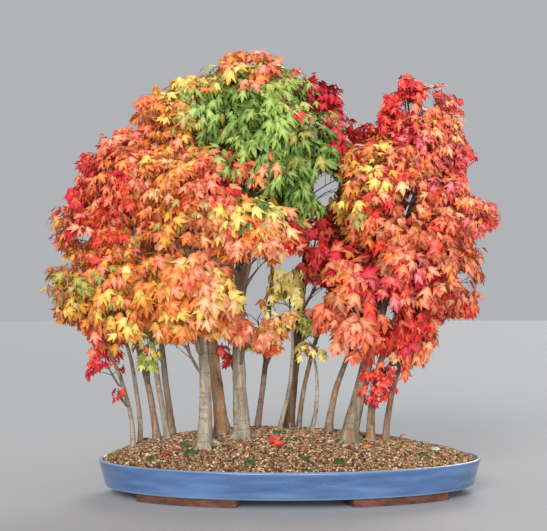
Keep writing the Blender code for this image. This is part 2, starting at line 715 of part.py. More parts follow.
def build_soil(parent, trunks):
    """The grit, with a shallow socket that each trunk stands in."""
    soil = add_object("soil", soil_mesh(), "grit", parent)
    sockets = bpy.data.collections.new("sockets")
    for trunk in trunks:
        base = trunk.points[0]
        widest = trunk.radii[0] * (1 + trunk.lobes) + SOCKET_MARGIN
        radius = widest / math.cos(math.pi / SOCKET_SIDES)
        rings = []
        for height in (-GAP, SOCKET_REACH):
            turns = (2 * math.pi * (at + 0.5) / SOCKET_SIDES for at in range(SOCKET_SIDES))
            around = ((radius * math.cos(a), radius * math.sin(a), height) for a in turns)
            rings.append([base + Vector(corner) for corner in around])
        cutter = bpy.data.objects.new("socket", mesh_of_rings("socket", rings))
        cutter.hide_render = True
        cutter.display_type = "WIRE"
        cutter.parent = parent
        sockets.objects.link(cutter)
    bpy.context.scene.collection.children.link(sockets)
    sockets.hide_render = True
    cut = soil.modifiers.new("sockets", "BOOLEAN")
    cut.operation = "DIFFERENCE"
    cut.solver = "EXACT"
    cut.operand_type = "COLLECTION"
    cut.collection = sockets


def joined_tree(limbs):
    """One search tree over limbs that are drawn a little thicker than they are."""
    points, faces = [], []
    for limb in limbs:
        more, sides = tube_faces(limb.rings(LIMB_CLEARANCE))
        faces.extend(tuple(len(points) + corner for corner in face) for face in sides)
        points.extend(more)
    return BVHTree.FromPolygons(points, faces)


def build_foliage(parent, limbs):
    masses = [Mass(*row) for row in MASSES]
    for mass in masses:
        for other in masses:
            if other is not mass:
                mass.meet(other)
        mass.grow_stem(limbs[mass.carrier])
    for seed, mass in enumerate(masses):
        others = [other.stem for other in masses if other is not mass]
        blocked = joined_tree([*limbs.values(), *others])
        parts = foliage_parts(mass, blocked, seed)
        add_object(mass.name, fuse(mass.name, parts), mass.colour, parent)


def build():
    clear_scene()
    centre = bpy.data.objects.new("tray_centre", None)
    bpy.context.scene.collection.objects.link(centre)
    centre.location = (*TRAY_CENTRE, 0.0)
    build_tray(centre)
    trunks = [trunk_limb(*row) for row in TRUNKS]
    build_soil(centre, trunks)
    limbs = {trunk.name: trunk for trunk in trunks}
    for name, carrier, share, knee, tip, thickness, tip_thickness in BOUGHS:
        knee, tip = Vector(knee), Vector(tip)
        radii = (thickness / 2, tip_thickness / 2)
        limbs[name] = grow_limb(name, limbs[carrier], share, knee, tip, radii, SLIM_SIDES, BOUGH_STEPS)
    for limb in limbs.values():
        add_object(limb.name, limb.mesh(), "bark", centre)
    build_foliage(centre, limbs)


build()
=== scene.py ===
"""A maple bonsai forest in autumn leaf: seventeen slim trunks growing in one glazed oval tray."""

import math
import random

import bmesh
import bpy
import numpy as np
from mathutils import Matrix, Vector, kdtree, noise


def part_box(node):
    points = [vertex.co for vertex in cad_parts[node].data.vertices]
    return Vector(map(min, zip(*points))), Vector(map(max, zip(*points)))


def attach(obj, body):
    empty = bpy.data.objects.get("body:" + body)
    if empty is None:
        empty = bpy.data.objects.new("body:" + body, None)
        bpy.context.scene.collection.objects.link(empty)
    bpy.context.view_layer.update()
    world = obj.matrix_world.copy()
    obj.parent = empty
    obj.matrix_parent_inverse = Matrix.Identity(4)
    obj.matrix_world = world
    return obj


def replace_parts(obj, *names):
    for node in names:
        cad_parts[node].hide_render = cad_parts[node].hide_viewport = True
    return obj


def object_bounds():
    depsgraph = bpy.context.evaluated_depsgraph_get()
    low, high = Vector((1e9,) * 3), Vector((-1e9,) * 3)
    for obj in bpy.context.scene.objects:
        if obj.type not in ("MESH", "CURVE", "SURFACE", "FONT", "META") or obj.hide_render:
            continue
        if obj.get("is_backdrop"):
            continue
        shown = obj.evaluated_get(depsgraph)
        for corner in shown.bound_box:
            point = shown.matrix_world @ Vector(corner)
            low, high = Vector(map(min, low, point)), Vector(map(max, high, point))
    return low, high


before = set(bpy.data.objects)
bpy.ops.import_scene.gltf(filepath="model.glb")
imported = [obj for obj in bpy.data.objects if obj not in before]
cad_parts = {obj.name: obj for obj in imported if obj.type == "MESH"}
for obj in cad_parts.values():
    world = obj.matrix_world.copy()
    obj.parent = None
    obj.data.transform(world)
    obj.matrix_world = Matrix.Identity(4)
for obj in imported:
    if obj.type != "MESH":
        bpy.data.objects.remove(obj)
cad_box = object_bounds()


# ---- Tray ------------------------------------------------------------------------------------
# A shallow oval tray of stoneware, thrown thin, with a rounded foot edge and a small round rim.
# Its glossy steel-blue glaze runs in streaks and breaks paler over the edges, where a pale band is partly
# painted highlight, and the inner wall is painted darker violet as shade.

tray_low, tray_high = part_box("tray")
tray_middle = Vector(((tray_low.x + tray_high.x) / 2, (tray_low.y + tray_high.y) / 2, 0.0))
half_length = (tray_high.x - tray_low.x) / 2
half_depth = (tray_high.y - tray_low.y) / 2
tray_base = tray_low.z
TRAY_TOP = 0.070
TRAY_WALL = 0.008
TRAY_TAPER = 0.012  # how far the wall leans in on its way down
TRAY_EDGE = 0.007  # radius under the wall
TRAY_FLOOR = 0.009
TRAY_FILLET = 0.006  # radius between wall and floor inside
TRAY_UNDERSIDE = 0.6  # the flat underside ends at this share of the half depth
RIM_DROP = 0.0085  # the wall is straight up to this far below the top
RIM_STEP = 0.0012  # and stands in from the rim there by this much
TRAY_SIDES = 192
GLAZE_BODY = ((0.0, (70, 98, 142)), (0.5, (84, 116, 162)), (1.0, (102, 136, 182)))
GLAZE_SPECKS = (62, 78, 124)
# Pale colour of the rim and foot edge: thinner glaze and, in part, a painted highlight.
GLAZE_THIN_AND_HIGHLIGHT = (164, 184, 214)
# Painted shade: the dark violet laid on the inner wall of the tray.
GLAZE_INSIDE_SHADE = (58, 54, 92)


def linear(colour):
    """A colour given in screen values from 0 to 255, as the linear values that shaders take."""
    parts = (channel / 255 for channel in colour)
    return (*(((c + 0.055) / 1.055) ** 2.4 if c > 0.04045 else c / 12.92 for c in parts), 1.0)


def add_object(name, data):
    thing = bpy.data.objects.new(name, data)
    bpy.context.scene.collection.objects.link(thing)
    return thing


def add_piece(name, mesh, finish):
    """Shows a finished mesh as a piece of the plant, with its finish."""
    piece = add_object(name, mesh)
    mesh.materials.clear()
    mesh.materials.append(finish)
    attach(piece, "root")
    return piece


def smoothed(mesh, below):
    """A mesh shaded smooth, but for edges that turn by more than an angle in degrees."""
    mesh.shade_smooth()
    mesh.set_sharp_from_angle(angle=math.radians(below))
    return mesh


def mesh_from(shape, name):
    """The shape in a bmesh as a mesh of its own."""
    mesh = bpy.data.meshes.new(name)
    shape.to_mesh(mesh)
    shape.free()
    return mesh


def closed_mesh(name, points, faces):
    """A mesh from points and faces, with its faces turned outwards."""
    shape = bmesh.new()
    corners = [shape.verts.new(point) for point in points]
    for face in faces:
        shape.faces.new([corners[number] for number in face])
    bmesh.ops.recalc_face_normals(shape, faces=shape.faces)
    return mesh_from(shape, name)


def wall_faces(rings, sides):
    """Quads that join rings of points, which follow one another."""
    faces = []
    for low in range(0, (rings - 1) * sides, sides):
        for at in range(sides):
            after = (at + 1) % sides
            faces.append((low + at, low + after, low + sides + after, low + sides + at))
    return faces


def end_faces(first, sides, middle):
    """Triangles from a ring, given by its first point, to the point in its middle."""
    return [(first + at, first + (at + 1) % sides, middle) for at in range(sides)]


def capped_mesh(name, rings, ends):
    """A closed mesh from rings of points and the middle points of its two ends."""
    sides = len(rings[0])
    points = [point for ring in rings for point in ring]
    faces = wall_faces(len(rings), sides)
    for first, end in zip((0, len(points) - sides), ends):
        faces += end_faces(first, sides, len(points))
        points.append(end)
    return closed_mesh(name, points, faces)


def feed(socket, value):
    """Sets a socket to a plain value, or links it to the output that feeds it."""
    if isinstance(value, bpy.types.NodeSocket):
        socket.id_data.links.new(value, socket)
    else:
        socket.default_value = value


def wire(tree, kind, inputs, out=0, **settings):
    """Adds a node with its settings, feeds its inputs and gives one of its outputs."""
    node = tree.nodes.new(kind)
    for setting, value in settings.items():
        setattr(node, setting, value)
    for socket, value in inputs.items():
        feed(node.inputs[socket], value)
    return node.outputs[out]


def add_socket(tree, name, kind, way="INPUT"):
    """A named socket on the outside of a node group."""
    return tree.interface.new_socket(name, in_out=way, socket_type="NodeSocket" + kind)


def object_place(tree):
    return wire(tree, "ShaderNodeTexCoord", {}, "Object")


def build_mottle():
    """A shader group: soft patches stretched along an axis, and a finer grain for relief."""
    tree = bpy.data.node_groups.new("mottle", "ShaderNodeTree")
    add_socket(tree, "Scale", "Float").default_value = 20.0
    add_socket(tree, "Stretch", "Vector").default_value = (1.0, 1.0, 1.0)
    add_socket(tree, "Contrast", "Float").default_value = 1.0
    add_socket(tree, "Patches", "Float", "OUTPUT")
    add_socket(tree, "Grain", "Float", "OUTPUT")
    given = tree.nodes.new("NodeGroupInput").outputs
    given_out = tree.nodes.new("NodeGroupOutput").inputs
    place = {0: object_place(tree), 1: given["Stretch"]}
    stretched = wire(tree, "ShaderNodeVectorMath", place, operation="MULTIPLY")
    finer = wire(tree, "ShaderNodeMath", {0: given["Scale"], 1: 6.0}, operation="MULTIPLY")
    broad = {"Vector": stretched, "Scale": given["Scale"], "Detail": 4.0}
    fine = {"Vector": stretched, "Scale": finer, "Detail": 2.0}
    middle = {0: wire(tree, "ShaderNodeTexNoise", broad), 1: 0.5}
    spread = wire(tree, "ShaderNodeMath", middle, operation="SUBTRACT")
    stronger = {0: spread, 1: given["Contrast"], 2: 0.5}
    patches = wire(tree, "ShaderNodeMath", stronger, operation="MULTIPLY_ADD", use_clamp=True)
    feed(given_out["Patches"], patches)
    feed(given_out["Grain"], wire(tree, "ShaderNodeTexNoise", fine))
    return tree


mottle = build_mottle()


def mottled(tree, scale, stretch=(1.0, 1.0, 1.0), contrast=2.0):
    """The patches and the grain of the mottle group, placed in a material with its own values."""
    inputs = {"Scale": scale, "Stretch": stretch, "Contrast": contrast}
    outputs = wire(tree, "ShaderNodeGroup", inputs, node_tree=mottle).node.outputs
    return outputs["Patches"], outputs["Grain"]


def new_finish(name, **plain):
    """A material, its tree and its shader's sockets, some set to what they are all over."""
    finish = bpy.data.materials.new(name)
    finish.use_nodes = True
    shader = finish.node_tree.nodes["Principled BSDF"].inputs
    for socket, value in plain.items():
        shader[socket.replace("_", " ")].default_value = value
    return finish, finish.node_tree, shader


def colour_ramp(tree, mask, *stops):
    """A colour ramp on a mask; each stop is a place from 0 to 1 and a colour."""
    ramp = wire(tree, "ShaderNodeValToRGB", {"Fac": mask})
    elements = ramp.node.color_ramp.elements
    while len(elements) < len(stops):
        elements.new(0.5)
    for element, (place, colour) in zip(elements, stops):
        element.position = place
        element.color = linear(colour)
    return ramp


def laid_over(tree, under, mask, colour):
    """A plain colour laid over another as far as a mask shows it."""
    inputs = {0: mask, 6: under, 7: linear(colour)}
    return wire(tree, "ShaderNodeMix", inputs, 2, data_type="RGBA")


def ranged(tree, value, low, high, to_low=0.0, to_high=1.0):
    """A value mapped from one range to another and kept inside it."""
    return wire(tree, "ShaderNodeMapRange", {0: value, 1: low, 2: high, 3: to_low, 4: to_high})


def joined(tree, operation, first, second):
    """Two masks, or a mask and a number, joined by a Math node and kept from 0 to 1."""
    return wire(tree, "ShaderNodeMath", {0: first, 1: second}, operation=operation, use_clamp=True)


def bumped(tree, shader, height, strength, distance):
    """Feeds a height to the shader's normal."""
    inputs = {"Height": height, "Strength": strength, "Distance": distance}
    feed(shader["Normal"], wire(tree, "ShaderNodeBump", inputs))


def glaze_finish():
    finish, tree, shader = new_finish("blue glaze", Coat_Weight=0.45, Coat_Roughness=0.08)
    streaks, _ = mottled(tree, 9.0, (1.0, 1.0, 7.0), 2.4)
    clouds, grain = mottled(tree, 60.0, (1.0, 1.0, 2.5), 2.0)
    body = colour_ramp(tree, streaks, *GLAZE_BODY)
    speckled = laid_over(tree, body, ranged(tree, grain, 0.62, 0.75, 0.0, 0.25), GLAZE_SPECKS)
    place = object_place(tree)
    height = wire(tree, "ShaderNodeSeparateXYZ", {0: place}, "Z")
    # Painted highlight: a pale band near the top of the rim and near the foot edge, partly the glaze
    # thinning there.
    near_rim = ranged(tree, height, TRAY_TOP - 0.0030, TRAY_TOP - 0.0004)
    near_foot = ranged(tree, height, tray_base + 0.0050, tray_base + 0.0015)
    thin = joined(tree, "MULTIPLY", joined(tree, "ADD", near_rim, near_foot), 0.75)
    paler_edges_and_highlight = laid_over(tree, speckled, thin, GLAZE_THIN_AND_HIGHLIGHT)
    across, deep = half_length - TRAY_WALL, half_depth - TRAY_WALL
    to_oval = {0: place, 1: (1 / across, 1 / deep, 0.0)}
    to_oval[2] = (-tray_middle.x / across, -tray_middle.y / deep, 0.0)
    oval = wire(tree, "ShaderNodeVectorMath", to_oval, operation="MULTIPLY_ADD")
    from_middle = wire(tree, "ShaderNodeVectorMath", {0: oval}, "Value", operation="LENGTH")
    # Painted shade: the inner wall, between the rim and the grit, is darkened to violet where shade falls
    # inside the tray.
    within = ranged(tree, from_middle, 1.012, 0.998, 0.0, 0.85)
    above_grit = ranged(tree, height, TRAY_TOP - 0.016, TRAY_TOP - 0.013)
    inside = joined(tree, "MULTIPLY", within, above_grit)
    feed(shader["Base Color"], laid_over(tree, paler_edges_and_highlight, inside, GLAZE_INSIDE_SHADE))
    feed(shader["Roughness"], ranged(tree, clouds, 0.0, 1.0, 0.16, 0.30))
    bumped(tree, shader, streaks, 0.25, 0.0012)
    return finish


def arc(centre, radius, first, last, steps):
    """Points of an arc in the (inset, height) plane, from one angle in degrees to another."""
    angles = (math.radians(first + (last - first) * at / steps) for at in range(steps + 1))
    return [(centre[0] + radius * math.cos(a), centre[1] + radius * math.sin(a)) for a in angles]


def wall_inset(height):
    """How far the tray's inner wall stands in from the outside of the rim."""
    return TRAY_WALL + TRAY_TAPER * (TRAY_TOP - height) / (TRAY_TOP - tray_base)


def tray_profile():
    """The tray's section, from under its edge, up the outside, over the rim and down inside."""
    half_wall = TRAY_WALL / 2
    floor_top = tray_base + TRAY_FLOOR
    under = [(half_depth * TRAY_UNDERSIDE, tray_base)]
    edge = arc((TRAY_TAPER + TRAY_EDGE, tray_base + TRAY_EDGE), TRAY_EDGE, 270, 175, 9)
    rim = arc((half_wall, TRAY_TOP - half_wall), half_wall, 186, -4, 12)
    waist = [(rim[0][0] + RIM_STEP, TRAY_TOP - RIM_DROP)]
    inside_foot = wall_inset(floor_top) + TRAY_FILLET
    inside = arc((inside_foot, floor_top + TRAY_FILLET), TRAY_FILLET, 180, 270, 5)
    return under + edge + waist + rim + inside


def oval_place(inset, turn, share=1.0):
    """A place on the tray's oval, drawn in by an inset and then shrunk to a share."""
    return (half_length - inset) * math.cos(turn) * share, (half_depth - inset) * math.sin(turn) * share


def oval_point(inset, turn, height):
    return tray_middle + Vector((*oval_place(inset, turn), height))


def full_turn(sides):
    """Angles evenly round a circle."""
    return [math.tau * at / sides for at in range(sides)]


def tray_mesh():
    profile, turns = tray_profile(), full_turn(TRAY_SIDES)
    rings = [[oval_point(inset, turn, height) for turn in turns] for inset, height in profile]
    ends = [tray_middle + Vector((0.0, 0.0, profile[row][1])) for row in (0, -1)]
    return smoothed(capped_mesh("glazed_tray", rings, ends), below=50)


tray = add_piece("glazed_tray", tray_mesh(), glaze_finish())
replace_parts(tray, "tray")


# ---- Feet ------------------------------------------------------------------------------------
# Four low feet of the same clay, left unglazed. Each is a slab that follows the tray's oval
# under its edge, with its arrises rubbed round by hand before firing.

FOOT_TOP = tray_base - 0.0003
FOOT_INSET = 0.022
FOOT_WIDTH = 0.030
FOOT_ANGLES = (33, 72)
FOOT_STEPS = 28
FOOT_ARRIS = 0.0016
CLAY_TONES = ((0.0, (80, 48, 38)), (0.55, (110, 70, 56)), (1.0, (138, 92, 74)))
CLAY_SPECKS = (84, 48, 36)


def clay_finish():
    finish, tree, shader = new_finish("bare clay", Roughness=0.9)
    patches, grain = mottled(tree, 35.0, (1.0, 1.0, 2.0), 2.2)
    specks = ranged(tree, grain, 0.60, 0.72, 0.0, 0.5)
    colour = laid_over(tree, colour_ramp(tree, patches, *CLAY_TONES), specks, CLAY_SPECKS)
    feed(shader["Base Color"], colour)
    bumped(tree, shader, grain, 0.5, 0.0008)
    return finish


def foot_mesh(name, across_x, across_y):
    first, last = (math.radians(angle) for angle in FOOT_ANGLES)
    shape = bmesh.new()
    corners = []
    for inset, order in ((FOOT_INSET, 1), (FOOT_INSET + FOOT_WIDTH, -1)):
        for step in range(FOOT_STEPS + 1)[::order]:
            x, y = oval_place(inset, first + (last - first) * step / FOOT_STEPS)
            corner = tray_middle + Vector((x * across_x, y * across_y, 0.0))
            corners.append(shape.verts.new(corner))
    raised = bmesh.ops.extrude_face_region(shape, geom=[shape.faces.new(corners)])
    upper = [item for item in raised["geom"] if isinstance(item, bmesh.types.BMVert)]
    bmesh.ops.translate(shape, verts=upper, vec=(0, 0, FOOT_TOP))
    sharp = [edge for edge in shape.edges if edge.calc_face_angle(0) > math.radians(40)]
    bmesh.ops.bevel(shape, geom=sharp, offset=FOOT_ARRIS, segments=3, profile=0.5, affect="EDGES")
    bmesh.ops.recalc_face_normals(shape, faces=shape.faces)
    return smoothed(mesh_from(shape, name), below=35)


bare_clay = clay_finish()
for depth, across_y in (("front", -1), ("back", 1)):
    for side, across_x in (("left", -1), ("right", 1)):
        node = f"foot_{depth}_{side}"
        foot = add_piece("clay_" + node, foot_mesh("clay_" + node, across_x, across_y), bare_clay)
        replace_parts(foot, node)


# ---- Grit ------------------------------------------------------------------------------------
# The planting stands in a low mound of sieved grit: fired clay, pumice and crushed granite in
# grains of 3 to 7 mm. A bed gives the mound its form, and loose grains are strewn all over it.

SOIL_DROP = 0.004
SOIL_RISE = 0.060
SOIL_SLOPE = 0.22
BED_CLEAR = 0.0003  # between the bed and the tray
BED_RINGS = 56
BED_SIDES = 160
BED_SINK = 0.0014
BED_ROUGH = 0.0016
GRAIN_SPACING = 0.0037
GRAIN_SIZE = (0.0017, 0.0038)
GRAIN_TILT = 0.6
BED_TONES = ((58, 40, 26), (112, 80, 52))
GRAINS = (  # kind, share of all grains, dark and light tone, flatness
    ("brown", 0.20, (112, 76, 50), (144, 102, 68), 0.75),
    ("tan", 0.27, (164, 126, 82), (198, 160, 114), 0.70),
    ("dark", 0.13, (64, 46, 34), (92, 68, 50), 0.80),
    ("pink", 0.17, (170, 114, 86), (206, 150, 118), 0.68),
    ("cream", 0.13, (214, 190, 150), (242, 224, 188), 0.66),
    ("olive", 0.10, (118, 112, 70), (156, 148, 98), 0.75),
)


def soil_height(x, y):
    """Height of the grit over the tray's middle, from its own centre."""
    along = x / (half_length - TRAY_WALL)
    across = y / (half_depth - TRAY_WALL)
    inside = max(0.0, 1 - along * along - across * across)
    return TRAY_TOP - SOIL_DROP + SOIL_RISE * inside**0.75 * (1 - SOIL_SLOPE * along)


def bed_point(inset, turn, share):
    """A point of the lumpy top of the bed."""
    x, y = oval_place(inset, turn, share)
    lumps = noise.noise(Vector((x, y, 0.0)) * 90) + 0.5 * noise.noise(Vector((x, y, 3.0)) * 260)
    return tray_middle + Vector((x, y, soil_height(x, y) - BED_SINK + BED_ROUGH * lumps))


def bed_meshes():
    """The closed bed, and its top face alone as the surface that grains are strewn on."""
    inset = wall_inset(TRAY_TOP - 0.008) + BED_CLEAR
    shares = [(BED_RINGS - ring) / BED_RINGS for ring in range(BED_RINGS)]
    points = [bed_point(inset, turn, share) for share in shares for turn in full_turn(BED_SIDES)]
    middle = len(points)
    points.append(bed_point(inset, 0.0, 0.0))
    faces = wall_faces(BED_RINGS, BED_SIDES) + end_faces(middle - BED_SIDES, BED_SIDES, middle)
    surface = closed_mesh("grit_surface", points, faces)
    floor = tray_base + TRAY_FLOOR + BED_CLEAR
    start = len(points)
    inset = wall_inset(floor) + TRAY_FILLET * 0.75
    points += [oval_point(inset, turn, floor) for turn in full_turn(BED_SIDES)]
    points.append(tray_middle + Vector((0.0, 0.0, floor)))
    for at in range(BED_SIDES):
        after = (at + 1) % BED_SIDES
        faces.append((at, start + at, start + after, after))
        faces.append((start + at, start + BED_SIDES, start + after))
    return smoothed(closed_mesh("grit_bed", points, faces), below=60), surface


def grit_finish(name, dark, light):
    finish, tree, shader = new_finish(name, Roughness=0.95)
    patches, grain = mottled(tree, 160.0, contrast=3.0)
    feed(shader["Base Color"], colour_ramp(tree, patches, (0.0, dark), (1.0, light)))
    bumped(tree, shader, grain, 0.6, 0.0006)
    return finish


def strewing_tree():
    """A tree that strews copies of one small shape over a surface and keeps one share of them."""
    tree = bpy.data.node_groups.new("strewing", "GeometryNodeTree")
    kinds = {"Surface": "Geometry", "Shape": "Object", "Spacing": "Float", "Smallest": "Float",
             "Largest": "Float", "From": "Float", "To": "Float", "Tilt": "Float", "Seed": "Int",
             "Finish": "Material"}
    names = {name: add_socket(tree, name, kind).identifier for name, kind in kinds.items()}
    add_socket(tree, "Strewn", "Geometry", "OUTPUT")
    given = tree.nodes.new("NodeGroupInput").outputs
    tilt = given["Tilt"]
    spots = wire(tree, "GeometryNodeDistributePointsOnFaces",
                 {"Mesh": given["Surface"], "Distance Min": given["Spacing"], "Density Max": 1.0e6,
                  "Seed": given["Seed"]}, distribute_method="POISSON")
    lot = wire(tree, "FunctionNodeRandomValue", {"Seed": 7}, 1, data_type="FLOAT")
    before = wire(tree, "FunctionNodeCompare", {0: lot, 1: given["From"]}, operation="LESS_THAN")
    behind = wire(tree, "FunctionNodeCompare", {0: lot, 1: given["To"]}, operation="GREATER_EQUAL")
    left_out = wire(tree, "FunctionNodeBooleanMath", {0: before, 1: behind}, operation="OR")
    kept = wire(tree, "GeometryNodeDeleteGeometry", {0: spots, "Selection": left_out}, domain="POINT")
    shape = wire(tree, "GeometryNodeObjectInfo", {"Object": given["Shape"]}, "Geometry")
    back = wire(tree, "ShaderNodeMath", {0: tilt, 1: -1.0}, operation="MULTIPLY")
    lowest = wire(tree, "ShaderNodeCombineXYZ", {"X": back, "Y": back})
    highest = wire(tree, "ShaderNodeCombineXYZ", {"X": tilt, "Y": tilt, "Z": math.tau})
    turned = wire(tree, "FunctionNodeRandomValue", {0: lowest, 1: highest, "Seed": 11},
                  data_type="FLOAT_VECTOR")
    size = wire(tree, "FunctionNodeRandomValue",
                {2: given["Smallest"], 3: given["Largest"], "Seed": 13}, 1, data_type="FLOAT")
    copies = wire(tree, "GeometryNodeInstanceOnPoints",
                  {"Points": kept, "Instance": shape, "Rotation": turned, "Scale": size})
    real = wire(tree, "GeometryNodeRealizeInstances", {0: copies})
    finished = wire(tree, "GeometryNodeSetMaterial", {0: real, "Material": given["Finish"]})
    feed(tree.nodes.new("NodeGroupOutput").inputs[0], finished)
    return tree, names


strewing, strewing_inputs = strewing_tree()


def strewn_mesh(name, surface, **values):
    """The tree's result on a surface mesh, as a plain mesh. The shape it strews is used up."""
    ground = add_object("ground", surface)
    modifier = ground.modifiers.new("strewing", "NODES")
    modifier.node_group = strewing
    for label, value in values.items():
        modifier[strewing_inputs[label]] = value
    graph = bpy.context.evaluated_depsgraph_get()
    mesh = bpy.data.meshes.new_from_object(ground.evaluated_get(graph), depsgraph=graph)
    mesh.name = name
    ground.modifiers.remove(modifier)
    bpy.data.objects.remove(ground)
    bpy.data.objects.remove(values["Shape"])
    return mesh


def pebble_shape(seed, flat):
    """A small broken stone about 2 units across, which the strewing scales and turns."""
    random_from = random.Random(seed)
    shape = bmesh.new()
    bmesh.ops.create_icosphere(shape, subdivisions=1, radius=1.0)
    for vertex in shape.verts:
        vertex.co *= random_from.uniform(0.72, 1.18)
        vertex.co.z *= flat
    return add_object("stone", mesh_from(shape, "stone"))


bed_mesh, grit_surface = bed_meshes()
bed = add_piece("grit_bed", bed_mesh, grit_finish("damp grit", *BED_TONES))
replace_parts(bed, "soil")
share_from = 0.0
for number, (kind, share, dark, light, flat) in enumerate(GRAINS):
    finish = grit_finish(kind + " grit", dark, light)
    grains = strewn_mesh("grit_" + kind, grit_surface, Shape=pebble_shape(number, flat),
                         Spacing=GRAIN_SPACING, Smallest=GRAIN_SIZE[0], Largest=GRAIN_SIZE[1],
                         From=share_from, To=share_from + share, Tilt=GRAIN_TILT, Seed=3, Finish=finish)
    add_piece("grit_" + kind, grains, finish)
    share_from += share

PALE_STONES = (  # place and half length in millimetres, and the seed of the form
    (283, -52, 9, 3), (262, 100, 7, 4), (-236, 110, 7, 5), (110, 150, 6, 6),
)
PALE_TONES = ((190, 184, 164), (226, 222, 206))
MOSS = (  # tufts of moss on the grit in millimetres: place, reach across and height
    (-196, -139, 11, 7), (-84, -192, 9, 5), (84, -190, 10, 6), (-272, -125, 9, 5), (-208, -105, 8, 5),
    (20, -186, 6, 4), (250, -110, 8, 4), (-120, 130, 11, 6), (140, 110, 10, 5), (-30, -60, 7, 4),
    (150, -40, 8, 4), (-290, 70, 9, 5),
)
MOSS_TONES = ((0.0, (44, 66, 32)), (0.6, (78, 106, 52)), (1.0, (124, 142, 78)))


def metres(values):
    """Millimetres as metres."""
    return tuple(value / 1000 for value in values)


def on_grit(x, y, lift=0.0):
    """The point of the grit's surface over a place, or one above it."""
    return tray_middle + Vector((x, y, soil_height(x, y) + lift))


def pale_stones():
    """Larger pale stones that lie on the grit, in one mesh."""
    shape = bmesh.new()
    for *sizes, seed in PALE_STONES:
        x, y, length = metres(sizes)
        centre = on_grit(x, y, length * 0.15)
        for vertex in bmesh.ops.create_icosphere(shape, subdivisions=3, radius=1.0)["verts"]:
            lumps = 1 + 0.35 * noise.noise(vertex.co * 1.1 + Vector((seed, 0, 0)))
            spot = Vector((vertex.co.x, vertex.co.y * 0.7, vertex.co.z * 0.45))
            vertex.co = centre + spot * (lumps * length)
    return smoothed(mesh_from(shape, "pale_stones"), below=180)


def moss_cushions():
    """Low lumpy cushions, one to each tuft."""
    shape = bmesh.new()
    for x, y, reach, rise in map(metres, MOSS):
        centre = on_grit(x, y)
        for vertex in bmesh.ops.create_icosphere(shape, subdivisions=3, radius=1.0)["verts"]:
            lumps = 1 + 0.22 * noise.noise(vertex.co * 2.2 + centre * 50)
            spot = Vector((vertex.co.x * reach, vertex.co.y * reach * 0.7, vertex.co.z * rise))
            vertex.co = centre + spot * lumps
    return smoothed(mesh_from(shape, "moss_cushions"), below=180)


def moss_blade():
    """One upright three-sided blade, a unit high."""
    mesh = bpy.data.meshes.new("blade")
    corners = [(0.16 * math.cos(turn), 0.16 * math.sin(turn), 0.0) for turn in full_turn(3)]
    mesh.from_pydata([*corners, (0.10, 0.0, 1.0)], [], [(0, 2, 1), (0, 1, 3), (1, 2, 3), (2, 0, 3)])
    return add_object("blade", mesh)


def moss_finish():
    finish, tree, shader = new_finish("moss", Roughness=0.9)
    patches, _ = mottled(tree, 140.0)
    feed(shader["Base Color"], colour_ramp(tree, patches, *MOSS_TONES))
    return finish


add_piece("pale_stones", pale_stones(), grit_finish("pale stone", *PALE_TONES))
moss_green = moss_finish()
cushions = moss_cushions()
blades = strewn_mesh("moss_blades", cushions, Shape=moss_blade(), Spacing=0.0009, Smallest=0.0022,
                     Largest=0.0042, From=0.0, To=1.0, Tilt=0.7, Seed=5, Finish=moss_green)
add_piece("moss_cushions", cushions, moss_green)
add_piece("moss_blades", blades, moss_green)


# ---- Trunks ----------------------------------------------------------------------------------
# Seventeen young trunks of one kind, set close and leaning apart. Their bark is thin, grey and
# finely fissured along the grain, and on the older ones it comes off in flakes that leave
# orange-brown patches. Each is one tapering stem with a small flare where it enters the grit.

TRUNKS = (  # in millimetres: name, foot, knee, tip, thickness, tip thickness; then the bark
    ("trunk_01", (-312, -10), (-315, 20, 210), (-380, -75, 330), 10, 6, "pale"),
    ("trunk_02", (-300, 30), (-297, 15, 220), (-350, 80, 350), 10, 6, "pale"),
    ("trunk_03", (-266, 8), (-288, 15, 280), (-365, 0, 465), 14, 6, "rosy"),
    ("trunk_04", (-245, -20), (-280, -20, 335), (-310, -85, 565), 12, 6, "pale"),
    ("trunk_05", (-236, 36), (-265, 50, 335), (-290, 95, 565), 14, 6, "grey"),
    ("trunk_06", (-170, -113), (-157, -100, 300), (-205, -160, 500), 26, 10, "pale"),
    ("trunk_07", (-136, -44), (-168, -10, 400), (-195, 10, 675), 25, 9, "flaking"),
    ("trunk_08", (-97, -78), (-119, -76, 430), (-72, -20, 745), 28, 10, "pale"),
    ("trunk_09", (-63, 52), (-34, 73, 320), (-30, 140, 525), 12, 7, "rosy"),
    ("trunk_10", (-20, -5), (13, -10, 240), (0, -22, 350), 9, 5, "pale"),
    ("trunk_11", (-1, 30), (27, 23, 400), (50, 45, 670), 20, 8, "dark"),
    ("trunk_12", (20, 45), (36, 60, 295), (135, 165, 460), 10, 6, "grey"),
    ("trunk_13", (43, -17), (60, -20, 200), (48, -12, 262), 9, 5, "pale"),
    ("trunk_14", (76, -13), (85, -5, 225), (165, 120, 340), 15, 7, "grey"),
    ("trunk_15", (110, -90), (168, -78, 367), (258, -15, 620), 29, 10, "grey"),
    ("trunk_16", (155, -60), (150, -65, 250), (225, -115, 405), 16, 8, "flaking"),
    ("trunk_17", (187, -35), (195, -45, 246), (285, 35, 385), 13, 7, "rosy"),
)
TRUNK_STEPS = 6
RING_CROWDING = 1.4
FLARE = 0.45
FLARE_HEIGHT = 1.2
FLARE_LOBES = 5
LOBE_FADE = 1.6
STRAIGHT_FOOT = 0.008
SOCKET_DEPTH = 0.004
THICK_TRUNK = 18  # in millimetres
THICK_BARK = (36, 0.20)  # sides of a thick trunk's skin, and depth of the lobes in its flare
THIN_BARK = (20, 0.06)
RING_SPACING = 0.0028
SWAY = 0.0022  # how far the bark's middle line strays
SWAY_SCALE = 14
FISSURES = 0.085  # relief of the bark, as shares of the radius
